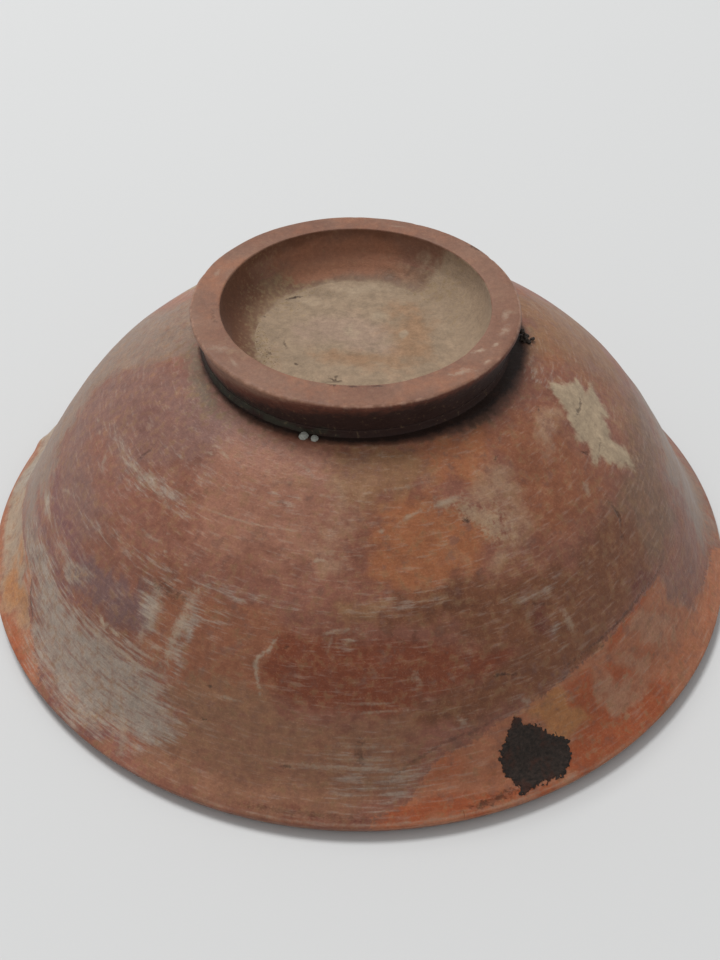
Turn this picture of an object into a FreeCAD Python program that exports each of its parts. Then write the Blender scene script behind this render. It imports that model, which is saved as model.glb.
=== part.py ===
import FreeCAD, Part
import math
import os

# A wheel-thrown bowl of red earthenware with a slip coat, as it stands in the photograph:
# upside down on its rim, with the foot ring up. +Z is up, the rim rests on z = 0 and the
# origin is the middle of the rim. Lengths are millimetres and angles are degrees.

# The thrown bowl: an everted lip, a wall that curves in, and a flat turned underside.
rim_radius = 110.0
wall_height = 72.0
wall_thickness = 5.2
haunch_thickness = 6.2
floor_thickness = 6.2
inner_floor_radius = 30.0
lip_lean = 45.0
lip_wear_width = 1.4

# The wall's outer line from the lip to the underside. The first share runs from the edge of the
# underside out to rim_radius, and the second is of wall_height.
wall_line_shares = (
    (0.908, 0.122),
    (0.834, 0.236),
    (0.757, 0.367),
    (0.648, 0.522),
    (0.507, 0.684),
    (0.333, 0.822),
    (0.152, 0.939),
)
offset_points = 12
inner_line_end_share = 0.90

# The foot ring: a coil turned to shape, luted on a little off centre.
foot_height = 11.5
foot_outer_radius = 43.8
foot_face_width = 7.8
foot_flare = 2.6
foot_taper = 3.6
underside_margin = 0.7
foot_outer_round = 1.8
foot_inner_round = 0.9
foot_shift = 1.2
waist_pull_share = 0.35
waist_height_share = 0.45
root_pull_share = 0.25
root_height_share = 0.50

# The luting slip: a thin layer of wet clay that glues the foot ring on, wiped into a fillet each side.
slip_gap = 0.8
slip_rise = 1.4
slip_outer_spread = 1.8
slip_inner_spread = 4.6

# A burnt crust on the wall near the lip, and the small deposits beside the foot ring.
crust_thickness = 0.4
crust_reach = 10.0
crust_turn = -64.1
crust_height = 10.0
crust_skin_rise = 16.0
crust_cut_depth = 6.0
crust_outline_shares = (
    (-0.28, 1.16), (-0.10, 0.85), (0.20, 0.78), (0.35, 0.50), (0.65, 0.33),
    (0.90, 0.10), (1.05, -0.10), (0.83, -0.18), (0.95, -0.38), (0.70, -0.65),
    (0.40, -0.76), (-0.10, -0.68), (-0.50, -0.58), (-0.82, -0.55), (-0.72, -0.28),
    (-0.93, -0.16), (-0.92, 0.22), (-0.70, 0.52), (-0.62, 0.75), (-0.48, 0.95),
)
bead_radii = (1.15, 0.95)
bead_turns = (-108.6, -104.8)
bead_edge_inset = 0.5
crumb_radii = (1.2, 0.9, 0.65)
crumb_turns = (-1.2, 0.4, 1.8)
crumb_edge_outset = 0.4

# How far the middle of the foot ring's edge rounds lies from the corner, as a share of their size.
round_middle_share = 1 - math.sqrt(0.5)

seam_turn = 90.0
FULL_TURN = 360.0
UP = FreeCAD.Vector(0, 0, 1)
CENTRE = FreeCAD.Vector(0, 0, 0)
FOOT_CENTRE = FreeCAD.Vector(-foot_shift, 0, 0)

lip_radius = wall_thickness / 2
lip_wear_half = lip_wear_width / 2
lip_middle_height = math.sqrt(lip_radius ** 2 - lip_wear_half ** 2)
foot_inner_radius = foot_outer_radius - foot_face_width
foot_waist_radius = foot_outer_radius - foot_flare
foot_root_radius = foot_inner_radius - foot_taper
underside_radius = foot_outer_radius + underside_margin
bowl_height = wall_height + foot_height
foot_base_height = wall_height + slip_gap
slip_top_height = foot_base_height + slip_rise


def at(radius, height):
    return FreeCAD.Vector(radius, 0, height)


def line(start, end):
    return Part.LineSegment(start, end).toShape()


def arc(start, middle, end):
    return Part.Arc(start, middle, end).toShape()


def spin(edges, centre=CENTRE):
    """A body of revolution whose seam is at the back, away from the small deposits."""
    shape = Part.Face(Part.Wire(edges)).revolve(CENTRE, UP, FULL_TURN)
    shape.rotate(CENTRE, UP, seam_turn)
    shape.translate(centre)
    return shape


def lip_point(angle):
    turn = math.radians(angle)
    return at(rim_radius - lip_radius + lip_radius * math.cos(turn),
              lip_middle_height + lip_radius * math.sin(turn))


def lip_direction():
    lean = math.radians(lip_lean)
    return FreeCAD.Vector(-math.sin(lean), 0, math.cos(lean))


def smooth_curve(points, start_direction, end_direction=None):
    """A curve through the points, which leaves the first one in a given direction."""
    free = [FreeCAD.Vector()] * (len(points) - 2)
    curve = Part.BSplineCurve()
    curve.interpolate(Points=points, Scale=False,
                      Tangents=[start_direction] + free + [end_direction or FreeCAD.Vector()],
                      TangentFlags=[True] + [False] * len(free) + [end_direction is not None])
    return curve


def wall_curve():
    """The wall's outer line, from the rounded lip up to the edge of the underside."""
    points = [lip_point(lip_lean)]
    reach = rim_radius - underside_radius
    points += [at(underside_radius + reach * r, wall_height * h) for r, h in wall_line_shares]
    points.append(at(underside_radius, wall_height))
    return smooth_curve(points, lip_direction())


def beside_wall(curve, start_depth, end_depth, end_share):
    """Points beside the wall's outer line, at a depth that grows from the lip to the foot."""
    points = []
    first, last = curve.FirstParameter, curve.LastParameter
    for step in range(offset_points + 1):
        share = end_share * step / offset_points
        u = first + (last - first) * share
        along = curve.tangent(u)[0]
        inward = FreeCAD.Vector(-along.z, 0, along.x)
        depth = start_depth + (end_depth - start_depth) * share
        points.append(curve.value(u) + inward * depth)
    return points


def height_on_wall(curve, height):
    """Where the wall's outer line passes a height, as the curve's own parameter."""
    crossing = curve.intersect(Part.Plane(at(0, height), UP))[0][0]
    return curve.parameter(FreeCAD.Vector(crossing.X, crossing.Y, crossing.Z))


def make_bowl_body():
    outer = wall_curve()
    floor_height = wall_height - floor_thickness
    inner_points = beside_wall(outer, wall_thickness, haunch_thickness, inner_line_end_share)
    inner_points.append(at(inner_floor_radius, floor_height))
    inner = smooth_curve(inner_points, lip_direction(), FreeCAD.Vector(-1, 0, 0))

    wear = math.degrees(math.asin(lip_wear_half / lip_radius))
    wear_outside = -90 + wear
    wear_inside = -90 - wear
    inside = lip_lean - 180
    outer_nose = arc(lip_point(lip_lean), lip_point((lip_lean + wear_outside) / 2), lip_point(wear_outside))
    wear_flat = line(lip_point(wear_outside), lip_point(wear_inside))
    inner_nose = arc(lip_point(wear_inside), lip_point((wear_inside + inside) / 2), lip_point(inside))
    underside = line(at(0, wall_height), at(underside_radius, wall_height))
    axis = line(at(0, floor_height), at(0, wall_height))
    floor = line(at(inner_floor_radius, floor_height), at(0, floor_height))
    return spin([outer_nose, wear_flat, inner_nose, inner.toShape(), floor, axis, underside, outer.toShape()])


def make_foot_ring():
    top = bowl_height
    rise = top - slip_top_height
    outer_top = at(foot_outer_radius, top - foot_outer_round)
    inner_top = at(foot_inner_radius, top - foot_inner_round)
    outer_base = at(foot_waist_radius, slip_top_height)
    inner_base = at(foot_root_radius, slip_top_height)
    waist = at(foot_waist_radius + foot_flare * waist_pull_share, slip_top_height + rise * waist_height_share)
    root = at(foot_inner_radius - foot_taper * root_pull_share, slip_top_height + rise * root_height_share)
    outer_cut = foot_outer_round * round_middle_share
    inner_cut = foot_inner_round * round_middle_share
    outer_bend = at(foot_outer_radius - outer_cut, top - outer_cut)
    inner_bend = at(foot_inner_radius + inner_cut, top - inner_cut)
    outer_face = at(foot_outer_radius - foot_outer_round, top)
    inner_face = at(foot_inner_radius + foot_inner_round, top)
    return spin([
        line(at(foot_waist_radius, foot_base_height), outer_base),
        arc(outer_base, waist, outer_top),
        arc(outer_top, outer_bend, outer_face),
        line(outer_face, inner_face),
        arc(inner_face, inner_bend, inner_top),
        arc(inner_top, root, inner_base),
        line(inner_base, at(foot_root_radius, foot_base_height)),
        line(at(foot_root_radius, foot_base_height), at(foot_waist_radius, foot_base_height)),
    ], FOOT_CENTRE)


def wiped_fillet(start_radius, spread):
    """A hollow fillet from the foot ring's side down to the bowl's underside, level where it ends."""
    fillet = Part.BezierCurve()
    fillet.setPoles([at(start_radius, slip_top_height), at(start_radius, wall_height),
                     at(start_radius + spread, wall_height)])
    return fillet.toShape()


def make_luting_slip():
    return spin([
        wiped_fillet(foot_waist_radius, slip_outer_spread),
        line(at(foot_waist_radius + slip_outer_spread, wall_height),
             at(foot_root_radius - slip_inner_spread, wall_height)),
        wiped_fillet(foot_root_radius, -slip_inner_spread),
        line(at(foot_root_radius, slip_top_height), at(foot_root_radius, foot_base_height)),
        line(at(foot_root_radius, foot_base_height), at(foot_waist_radius, foot_base_height)),
        line(at(foot_waist_radius, foot_base_height), at(foot_waist_radius, slip_top_height)),
    ], FOOT_CENTRE)


def make_burnt_crust():
    """A thin skin on the wall's outside, cut to a ragged outline."""
    outer = wall_curve()
    start, end = outer.FirstParameter, height_on_wall(outer, crust_height + crust_skin_rise)
    end_share = (end - start) / (outer.LastParameter - start)
    skin_points = beside_wall(outer, -crust_thickness, -crust_thickness, end_share)
    skin = Part.BSplineCurve()
    skin.interpolate(skin_points)
    skin_solid = spin([
        outer.toShape(start, end),
        line(outer.value(end), skin_points[-1]),
        skin.toShape(),
        line(skin_points[0], outer.value(start)),
    ])

    u = height_on_wall(outer, crust_height)
    middle = outer.value(u)
    along = outer.tangent(u)[0]
    outward = FreeCAD.Vector(along.z, 0, -along.x)
    across = UP.cross(FreeCAD.Vector(1, 0, 0))
    ring = [middle + across * (x * crust_reach) + along * (y * crust_reach) for x, y in crust_outline_shares]
    cutter = Part.Face(Part.makePolygon(ring + ring[:1]))
    cutter.translate(outward * -crust_cut_depth)
    block = cutter.extrude(outward * (2 * crust_cut_depth))
    block.rotate(CENTRE, UP, crust_turn)
    return skin_solid.common(block)


def drop(radius, ring_radius, height, turn):
    angle = math.radians(turn)
    place = FreeCAD.Vector(ring_radius * math.cos(angle), ring_radius * math.sin(angle), height)
    return Part.makeSphere(radius, place)


def make_lime_beads(body, slip):
    """Two small droplets of lime in the angle between the foot ring and the wall."""
    beads = []
    for radius, turn in zip(bead_radii, bead_turns):
        bead = drop(radius, underside_radius - bead_edge_inset, wall_height, turn)
        beads += bead.cut(body).cut(slip).Solids
    return Part.makeCompound(beads)


def make_soil_crumb(body, slip, foot):
    """A crumb of soil caught under the foot ring's edge."""
    grains = [drop(radius, underside_radius + crumb_edge_outset, wall_height, turn)
              for radius, turn in zip(crumb_radii, crumb_turns)]
    crumb = grains[0].multiFuse(grains[1:])
    return crumb.cut(body).cut(slip).cut(foot)


def main():
    os.makedirs("parts", exist_ok=True)
    body = make_bowl_body()
    foot = make_foot_ring()
    slip = make_luting_slip()
    pieces = {
        "bowl_body": body,
        "foot_ring": foot,
        "luting_slip": slip,
        "burnt_crust": make_burnt_crust(),
        "lime_beads": make_lime_beads(body, slip),
        "soil_crumb": make_soil_crumb(body, slip, foot),
    }
    for name, shape in pieces.items():
        box = shape.optimalBoundingBox(False)
        print(f"{name}: {len(shape.Solids)} solid(s), valid {shape.isValid()}, {shape.Volume:.1f} mm3, "
              f"{box.XLength:.2f} by {box.YLength:.2f} mm, z {box.ZMin:.2f} to {box.ZMax:.2f}")
        shape.exportStep(os.path.join("parts", name + ".step"))


main()
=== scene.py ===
import math

import bpy
import numpy as np
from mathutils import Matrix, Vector, noise


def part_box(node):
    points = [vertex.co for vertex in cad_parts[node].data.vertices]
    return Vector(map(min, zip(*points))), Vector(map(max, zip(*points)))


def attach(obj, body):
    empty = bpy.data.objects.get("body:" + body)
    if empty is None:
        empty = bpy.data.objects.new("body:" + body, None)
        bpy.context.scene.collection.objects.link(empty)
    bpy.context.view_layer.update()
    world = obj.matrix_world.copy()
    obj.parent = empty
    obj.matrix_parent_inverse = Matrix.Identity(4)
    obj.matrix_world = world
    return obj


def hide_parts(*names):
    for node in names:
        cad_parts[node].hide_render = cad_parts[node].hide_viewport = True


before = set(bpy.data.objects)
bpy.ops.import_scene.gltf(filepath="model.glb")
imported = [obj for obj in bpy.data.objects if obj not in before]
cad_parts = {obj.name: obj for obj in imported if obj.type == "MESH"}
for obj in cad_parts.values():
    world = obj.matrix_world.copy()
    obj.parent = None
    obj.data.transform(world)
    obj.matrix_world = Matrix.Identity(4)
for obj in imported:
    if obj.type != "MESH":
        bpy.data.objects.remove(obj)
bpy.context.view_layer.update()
print("frame loaded:", ", ".join(sorted(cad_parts)))

# A thrown bowl of red earthenware, upside down on its rim: +Z up, the rim on z = 0. The frame is
# in metres, and lengths here are in mm. Azimuths are degrees round +Z, and -90 faces the camera.
# "Run" is the way along the bowl's surface: 0 about where it stands, 6 where the lip's round ends
# and the outer wall begins, 102 at the wall's top under the foot, negative inside.
mm = 0.001
samePoint = 0.01  # nearer points of a drawn line are one
weldGap = 0.004  # a seam no wider than this is welded
farAway = 1e9  # more than any distance here
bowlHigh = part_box("bowl_body")[1]
footLow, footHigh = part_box("foot_ring")
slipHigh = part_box("luting_slip")[1]
rimRadius = bowlHigh.x / mm
wallHeight = bowlHigh.z / mm
footTop = footHigh.z / mm
footBase = footLow.z / mm
slipTop = slipHigh.z / mm


def deselectAll():
    if bpy.context.object and bpy.context.object.mode != "OBJECT":
        bpy.ops.object.mode_set(mode="OBJECT")
    bpy.ops.object.select_all(action="DESELECT")


def smoothLine(points, spacing, startDirection=None, endDirection=None):
    # a line through the points; its slope at each is weighed from the two runs beside it
    pts = [np.array(p, float) for p in points]
    runs = [np.linalg.norm(b - a) for a, b in zip(pts, pts[1:])]
    slopes = [(b - a) / d for a, b, d in zip(pts, pts[1:], runs)]
    inner = [(slopes[i - 1] * runs[i] + slopes[i] * runs[i - 1]) / (runs[i - 1] + runs[i])
             for i in range(1, len(slopes))]
    first = np.array(startDirection, float) if startDirection else slopes[0] * 1.5 - inner[0] * 0.5
    last = np.array(endDirection, float) if endDirection else slopes[-1] * 1.5 - inner[-1] * 0.5
    tangents = [first] + inner + [last]
    drawn = [pts[0]]
    for a, b, d, ta, tb in zip(pts, pts[1:], runs, tangents, tangents[1:]):
        steps = max(1, round(d / spacing))
        for k in range(1, steps + 1):
            t = k / steps
            drawn.append((2 * t**3 - 3 * t**2 + 1) * a + (t**3 - 2 * t**2 + t) * d * ta
                         + (3 * t**2 - 2 * t**3) * b + (t**3 - t**2) * d * tb)
    return drawn


def roundArc(centre, radius, startAngle, endAngle, steps):
    angles = [math.radians(startAngle + (endAngle - startAngle) * k / steps) for k in range(steps + 1)]
    return [np.array((centre[0] + radius * math.cos(a), centre[1] + radius * math.sin(a))) for a in angles]


def bentArc(start, middle, end, steps):
    # a shallow arc through three points
    line = []
    for k in range(steps + 1):
        t = k / steps
        line.append(np.array(start) * (1 - t) * (1 - 2 * t) + np.array(middle) * 4 * t * (1 - t)
                    + np.array(end) * t * (2 * t - 1))
    return line


def straight(start, end, steps):
    return [np.array(start) + (np.array(end) - np.array(start)) * k / steps for k in range(steps + 1)]


def joinLines(*lines):
    joined = []
    for line in lines:
        for point in line:
            if not joined or np.linalg.norm(point - joined[-1]) > samePoint:
                joined.append(point)
    return joined


def walkedLengths(points):
    # how far along the line each of its points is
    return np.concatenate([[0], np.cumsum(np.linalg.norm(np.diff(points, axis=0), axis=1))])


def turnOnWheel(name, profile, columns, centreX, closed):
    # the profile is drawn point by point in mm, then spun round the wheel's axis
    deselectAll()
    spot = (centreX * mm + profile[0][0] * mm, 0, profile[0][1] * mm)
    bpy.ops.mesh.primitive_plane_add(size=mm, location=spot)
    piece = bpy.context.object
    piece.name = name
    bpy.ops.object.mode_set(mode="EDIT")
    bpy.ops.mesh.select_all(action="SELECT")
    bpy.ops.mesh.merge(type="CENTER")
    drawn = profile[1:] + profile[:1] if closed else profile[1:]
    for before, after in zip(profile, drawn):
        step = ((after[0] - before[0]) * mm, 0, (after[1] - before[1]) * mm)
        bpy.ops.mesh.extrude_vertices_move(TRANSFORM_OT_translate={"value": step})
    bpy.ops.mesh.select_all(action="SELECT")
    bpy.ops.mesh.spin(steps=columns, angle=math.tau, center=(centreX * mm, 0, 0), axis=(0, 0, 1))
    bpy.ops.mesh.select_all(action="SELECT")
    bpy.ops.mesh.remove_doubles(threshold=weldGap * mm)
    bpy.ops.mesh.normals_make_consistent(inside=False)
    bpy.ops.object.mode_set(mode="OBJECT")
    bpy.ops.object.transform_apply(location=True, rotation=True, scale=True)
    bpy.ops.object.shade_smooth()
    return piece


def readPoints(piece):
    # the mesh's points in mm
    points = np.zeros(len(piece.data.vertices) * 3)
    piece.data.vertices.foreach_get("co", points)
    return points.reshape(-1, 3) / mm


def writePoints(piece, points):
    piece.data.vertices.foreach_set("co", (points * mm).ravel())
    piece.data.update()


def readNormals(piece):
    normals = np.zeros(len(piece.data.vertices) * 3)
    piece.data.vertices.foreach_get("normal", normals)
    return normals.reshape(-1, 3)


def selectPoints(piece, chosen):
    # enters edit mode with just these points selected
    bpy.ops.object.mode_set(mode="EDIT")
    bpy.ops.mesh.select_mode(type="VERT")
    bpy.ops.mesh.select_all(action="DESELECT")
    bpy.ops.object.mode_set(mode="OBJECT")
    piece.data.vertices.foreach_set("select", chosen)
    bpy.ops.object.mode_set(mode="EDIT")


def storeField(piece, name, values):
    isVector = values.ndim == 2
    attribute = piece.data.attributes.new(name, "FLOAT_VECTOR" if isVector else "FLOAT", "POINT")
    attribute.data.foreach_set("vector" if isVector else "value", values.astype(np.float32).ravel())


def fitPiece(piece, node):
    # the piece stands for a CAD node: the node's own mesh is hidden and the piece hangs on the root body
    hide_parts(node)
    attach(piece, "root")


cloudValues = {
    "seedStep": (17.3, -9.1, 5.7),  # how far apart two seeds lie in the noise
    "gain": 1.6,
}


def cloudAt(points, size, seed):
    # soft noise, about -1 to 1, with lumps about `size` mm across
    shift = Vector([seed * step for step in cloudValues["seedStep"]])
    return np.array([noise.noise(Vector(p) / size + shift) for p in points]) * cloudValues["gain"]


def cloudSum(points, clouds):
    # clouds of several sizes added up: size, seed and height of each
    return sum(height * cloudAt(points, size, seed) for size, seed, height in clouds)


# camera at the photograph's angle, one wide soft lamp overhead and behind, pale sky all round
viewValues = {
    "lens": 48.75,
    "sensorWidth": 36,
    "clipStart": 0.01,
    "place": (0.00009, -0.28833, 0.28214),
    "tilt": 47.665,
    "roll": 0.577,
    "lampPlace": (-1.25, 1.88, 4.13),
    "lampSize": 1.56,
    "lampPower": 165.0,
    "skyStrength": 0.60,
    "skyColour": "f0f0f0",
    "floorColour": "cacbcb",
    "floorRoughness": 0.8,
    "floorSize": 6.0,
}


def linearColour(hexColour):
    # an sRGB hex value as the linear colour that the shader wants
    parts = [int(hexColour[i:i + 2], 16) / 255 for i in (0, 2, 4)]
    return tuple(c / 12.92 if c <= 0.04045 else ((c + 0.055) / 1.055) ** 2.4 for c in parts) + (1.0,)


def addNode(tree, kind, settings=None, inputs=None):
    # a node with its settings, and its inputs set to values or linked to other nodes' sockets
    node = tree.nodes.new(kind)
    for name, value in (settings or {}).items():
        setattr(node, name, value)
    for name, value in (inputs or {}).items():
        if isinstance(value, bpy.types.NodeSocket):
            tree.links.new(value, node.inputs[name])
        else:
            node.inputs[name].default_value = value
    return node


def startMaterial(name):
    material = bpy.data.materials.new(name)
    material.use_nodes = True
    tree = material.node_tree
    tree.nodes.clear()
    return material, tree


def layColours(tree, colour, layers):
    # one colour after another over the first, each as far as its cover reaches
    for cover, hexColour in layers:
        colour = addNode(tree, "ShaderNodeMix", {"data_type": "RGBA"}, {
            0: cover, 6: colour, 7: linearColour(hexColour)}).outputs[2]
    return colour


def finishMaterial(tree, colour, roughness, height, depth, looks):
    # the skin of a material, its relief `depth` mm deep, and the other sockets that it sets
    bump = addNode(tree, "ShaderNodeBump", {}, {"Height": height, "Strength": 1.0, "Distance": depth * mm})
    shader = addNode(tree, "ShaderNodeBsdfPrincipled", {}, {
        "Base Color": colour, "Roughness": roughness, "Normal": bump.outputs["Normal"], **looks})
    addNode(tree, "ShaderNodeOutputMaterial", {}, {"Surface": shader.outputs["BSDF"]})


deselectAll()
bpy.ops.object.camera_add(location=viewValues["place"])
camera = bpy.context.object
camera.name = "photoCamera"
camera.rotation_mode = "ZYX"  # so that the roll is about the camera's own axis
camera.rotation_euler = (math.radians(viewValues["tilt"]), 0, math.radians(viewValues["roll"]))
camera.data.lens = viewValues["lens"]
camera.data.sensor_width = viewValues["sensorWidth"]
camera.data.clip_start = viewValues["clipStart"]
bpy.context.scene.camera = camera

bpy.ops.object.light_add(type="AREA", location=viewValues["lampPlace"])
lamp = bpy.context.object
lamp.name = "softLamp"
lamp.data.shape = "SQUARE"
lamp.data.size = viewValues["lampSize"]
lamp.data.energy = viewValues["lampPower"]
lamp.rotation_euler = (-Vector(viewValues["lampPlace"])).to_track_quat("-Z", "Y").to_euler()

world = bpy.data.worlds.new("paleRoom")
bpy.context.scene.world = world
world.use_nodes = True
worldTree = world.node_tree
worldTree.nodes.clear()
sky = addNode(worldTree, "ShaderNodeBackground", {}, {
    "Color": linearColour(viewValues["skyColour"]), "Strength": viewValues["skyStrength"]})
addNode(worldTree, "ShaderNodeOutputWorld", {}, {"Surface": sky.outputs["Background"]})
bpy.context.scene.view_settings.view_transform = "Standard"

deselectAll()
bpy.ops.mesh.primitive_plane_add(size=viewValues["floorSize"], location=(0, 0, 0))
floor = bpy.context.object
floor.name = "paleFloor"
floorMaterial, tree = startMaterial("paleBoard")
floorShader = addNode(tree, "ShaderNodeBsdfPrincipled", {}, {
    "Base Color": linearColour(viewValues["floorColour"]), "Roughness": viewValues["floorRoughness"]})
addNode(tree, "ShaderNodeOutputMaterial", {}, {"Surface": floorShader.outputs["BSDF"]})
floor.data.materials.append(floorMaterial)
print("camera, lamp and floor are up")

# The thrown bowl. Its wall line is the CAD one, as shares of the reach from the foot to the rim
# and of the height.
bowlValues = {
    "columns": 480,
    "lipRadius": 2.6,
    "lipMiddle": 2.504,
    "lipLean": 45.0,
    "wallShares": ((0.908, 0.122), (0.834, 0.236), (0.757, 0.367), (0.648, 0.522),
                   (0.507, 0.684), (0.333, 0.822), (0.152, 0.939)),
    "undersideRadius": 44.5,
    "wallThickness": 5.2,
    "haunchThickness": 6.2,
    "floorThickness": 6.2,
    "innerFloorRadius": 30.0,
    "innerPoints": 12,
    "innerShare": 0.90,
    "outerSpacing": 0.9,
    "undersideSpacing": 1.25,
    "innerSpacing": 3.4,
    "probeSpacing": 0.1,
    "probe": 0.4,  # the slope of the wall is read this far to each side
    "lipSteps": 6,
    "floorSteps": 10,
    "lipRun": 6.1,  # the run at which the lip's round ends
    # the worn edge under the lip, from the wall to the flat that it stands on
    "lipEdge": ((109.62, 3.98), (109.86, 3.72), (109.94, 3.45), (109.86, 3.1), (109.6, 2.3), (109.2, 1.4),
                (108.75, 0.65), (108.2, 0.2), (107.6, 0.0), (106.7, 0.0)),
}


def drawBowlProfile(v):
    lean = math.radians(v["lipLean"])
    lipCentre = (rimRadius - v["lipRadius"], v["lipMiddle"])
    lipStart = (lipCentre[0] + v["lipRadius"] * math.cos(lean),
                lipCentre[1] + v["lipRadius"] * math.sin(lean))
    lipWay = (-math.sin(lean), math.cos(lean))
    reach = rimRadius - v["undersideRadius"]
    wall = [lipStart] + [(v["undersideRadius"] + reach * r, wallHeight * h) for r, h in v["wallShares"]]
    wall.append((v["undersideRadius"], wallHeight))
    outer = smoothLine(wall, v["outerSpacing"], lipWay)
    fine = np.array(smoothLine(wall, v["probeSpacing"], lipWay))
    lengths = walkedLengths(fine)
    inside = []
    for k in range(v["innerPoints"] + 1):
        share = v["innerShare"] * k / v["innerPoints"]
        behind, spot, ahead = (
            np.array([np.interp(share * lengths[-1] + step, lengths, fine[:, i]) for i in (0, 1)])
            for step in (-v["probe"], 0, v["probe"]))
        along = (ahead - behind) / np.linalg.norm(ahead - behind)
        depth = v["wallThickness"] + (v["haunchThickness"] - v["wallThickness"]) * share
        inside.append(spot + np.array((-along[1], along[0])) * depth)
    floorHeight = wallHeight - v["floorThickness"]
    inside.append(np.array((v["innerFloorRadius"], floorHeight)))
    inner = smoothLine(inside, v["innerSpacing"], lipWay, (-1, 0))
    wear = math.degrees(math.acos(v["lipMiddle"] / v["lipRadius"]))
    underside = straight((0.0, wallHeight), (v["undersideRadius"], wallHeight),
                         round(v["undersideRadius"] / v["undersideSpacing"]))
    profile = joinLines(
        underside,
        outer[::-1],
        [np.array(point) for point in v["lipEdge"]],
        roundArc(lipCentre, v["lipRadius"], -90 - wear, v["lipLean"] - 180, v["lipSteps"]),
        inner,
        straight((v["innerFloorRadius"], floorHeight), (0.0, floorHeight), v["floorSteps"]),
    )
    points = np.array(profile)
    runs = -walkedLengths(points)
    lipIndex = np.argmin(np.linalg.norm(points - np.array(lipStart), axis=1))
    return profile, runs - runs[lipIndex] + v["lipRun"]


bowlProfile, bowlRuns = drawBowlProfile(bowlValues)
bowlBody = turnOnWheel("bowlBody", bowlProfile, bowlValues["columns"], 0.0, False)
print("bowl thrown:", len(bowlProfile), "rings,", len(bowlBody.data.vertices), "points")

# The foot ring: a turned coil, its outer side waisted and its face worn.
footValues = {
    "columns": 480,
    "wider": 0.45,  # in radius, than the frame's
    "shift": -0.3,  # to the side, from the frame's
    "faceWidth": 8.0,
    "flare": 2.6,
    "taper": 3.6,
    "outerRound": 1.1,
    "innerRound": 0.5,
    "openingShift": 0.9,
    "waistPull": 0.35,
    "waistHeight": 0.45,
    "rootPull": 0.25,
    "rootHeight": 0.50,
    "sideSteps": 14,
    "outerRoundSteps": 7,
    "innerRoundSteps": 5,
    "faceSteps": 8,
    "buriedSteps": 2,
    "baseSteps": 4,
}
footRadius = (footHigh.x - footLow.x) / 2 / mm + footValues["wider"]
footCentre = (footHigh.x + footLow.x) / 2 / mm + footValues["shift"]


def drawFootProfile(v):
    innerRadius = footRadius - v["faceWidth"]
    waistRadius = footRadius - v["flare"]
    rootRadius = innerRadius - v["taper"]
    rise = footTop - slipTop
    outerRound, innerRound = v["outerRound"], v["innerRound"]
    outerBend = (waistRadius + v["flare"] * v["waistPull"], slipTop + rise * v["waistHeight"])
    innerBend = (innerRadius - v["taper"] * v["rootPull"], slipTop + rise * v["rootHeight"])
    return joinLines(
        straight((waistRadius, footBase), (waistRadius, slipTop), v["buriedSteps"]),
        bentArc((waistRadius, slipTop), outerBend, (footRadius, footTop - outerRound), v["sideSteps"]),
        roundArc((footRadius - outerRound, footTop - outerRound), outerRound, 0, 90, v["outerRoundSteps"]),
        straight((footRadius - outerRound, footTop), (innerRadius + innerRound, footTop), v["faceSteps"]),
        roundArc((innerRadius + innerRound, footTop - innerRound), innerRound, 90, 180,
                 v["innerRoundSteps"]),
        bentArc((innerRadius, footTop - innerRound), innerBend, (rootRadius, slipTop), v["sideSteps"]),
        straight((rootRadius, slipTop), (rootRadius, footBase), v["buriedSteps"]),
        straight((rootRadius, footBase), (waistRadius, footBase), v["baseSteps"])[:-1],
    )


footRing = turnOnWheel("footRing", drawFootProfile(footValues), footValues["columns"], footCentre, True)
print("foot ring turned:", len(footRing.data.vertices), "points")

# The luting slip: wet clay squeezed out under the foot ring and wiped into a fillet each side.
slipValues = {
    "columns": 360,
    "outerSpread": 1.9,
    "innerSpread": 7.0,
    "climb": 3.4,
    "buried": 0.2,
    "sink": 0.12,
    "outerSink": 0.6,
    "bend": (1.9, 1.0),  # in from the foot ring's root and down from the slip's top
    "overlap": 0.4,
    "outerSteps": 8,
    "innerSpacing": 0.7,
    "underSteps": 6,
    "climbSteps": 3,
    "baseSteps": 4,
    "buriedSteps": 2,
}


def drawSlipProfile(v, foot):
    waistRadius = footRadius - foot["flare"]
    innerRadius = footRadius - foot["faceWidth"]
    rootRadius = innerRadius - foot["taper"]
    overlap = v["overlap"]
    outer = []
    for k in range(v["outerSteps"] + 1):
        t = k / v["outerSteps"]
        height = slipTop * (1 - t) ** 2 + (wallHeight - v["outerSink"]) * (1 - (1 - t) ** 2)
        outer.append(np.array((waistRadius + v["outerSpread"] * t * t, height)))
    # inside, the slip is smeared a little way up the foot ring
    wallInside = [p for p in drawFootProfile(foot) if p[0] < innerRadius and p[1] >= slipTop]
    wallInside.sort(key=lambda p: p[1])
    heights, radii = [p[1] for p in wallInside], [p[0] for p in wallInside]
    topHeight = slipTop + v["climb"]
    topRadius = np.interp(topHeight, heights, radii)
    slope = topRadius - np.interp(topHeight - 1, heights, radii)
    fillet = [(topRadius + v["buried"], topHeight), (rootRadius - v["bend"][0], slipTop - v["bend"][1]),
              (rootRadius - v["innerSpread"], wallHeight - v["sink"])]
    inner = smoothLine(fillet, v["innerSpacing"], (-slope, -1), (-1, 0))
    return joinLines(
        outer,
        straight(outer[-1], inner[-1], v["underSteps"]),
        inner[::-1],
        straight((topRadius + overlap, topHeight), (rootRadius + overlap, footBase), v["climbSteps"]),
        straight((rootRadius, footBase), (waistRadius, footBase), v["baseSteps"]),
        straight((waistRadius, footBase), (waistRadius, slipTop), v["buriedSteps"])[:-1],
    )


lutingSlip = turnOnWheel("lutingSlip", drawSlipProfile(slipValues, footValues), slipValues["columns"],
                         footCentre, True)
print("luting slip wiped:", len(lutingSlip.data.vertices), "points")


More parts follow.
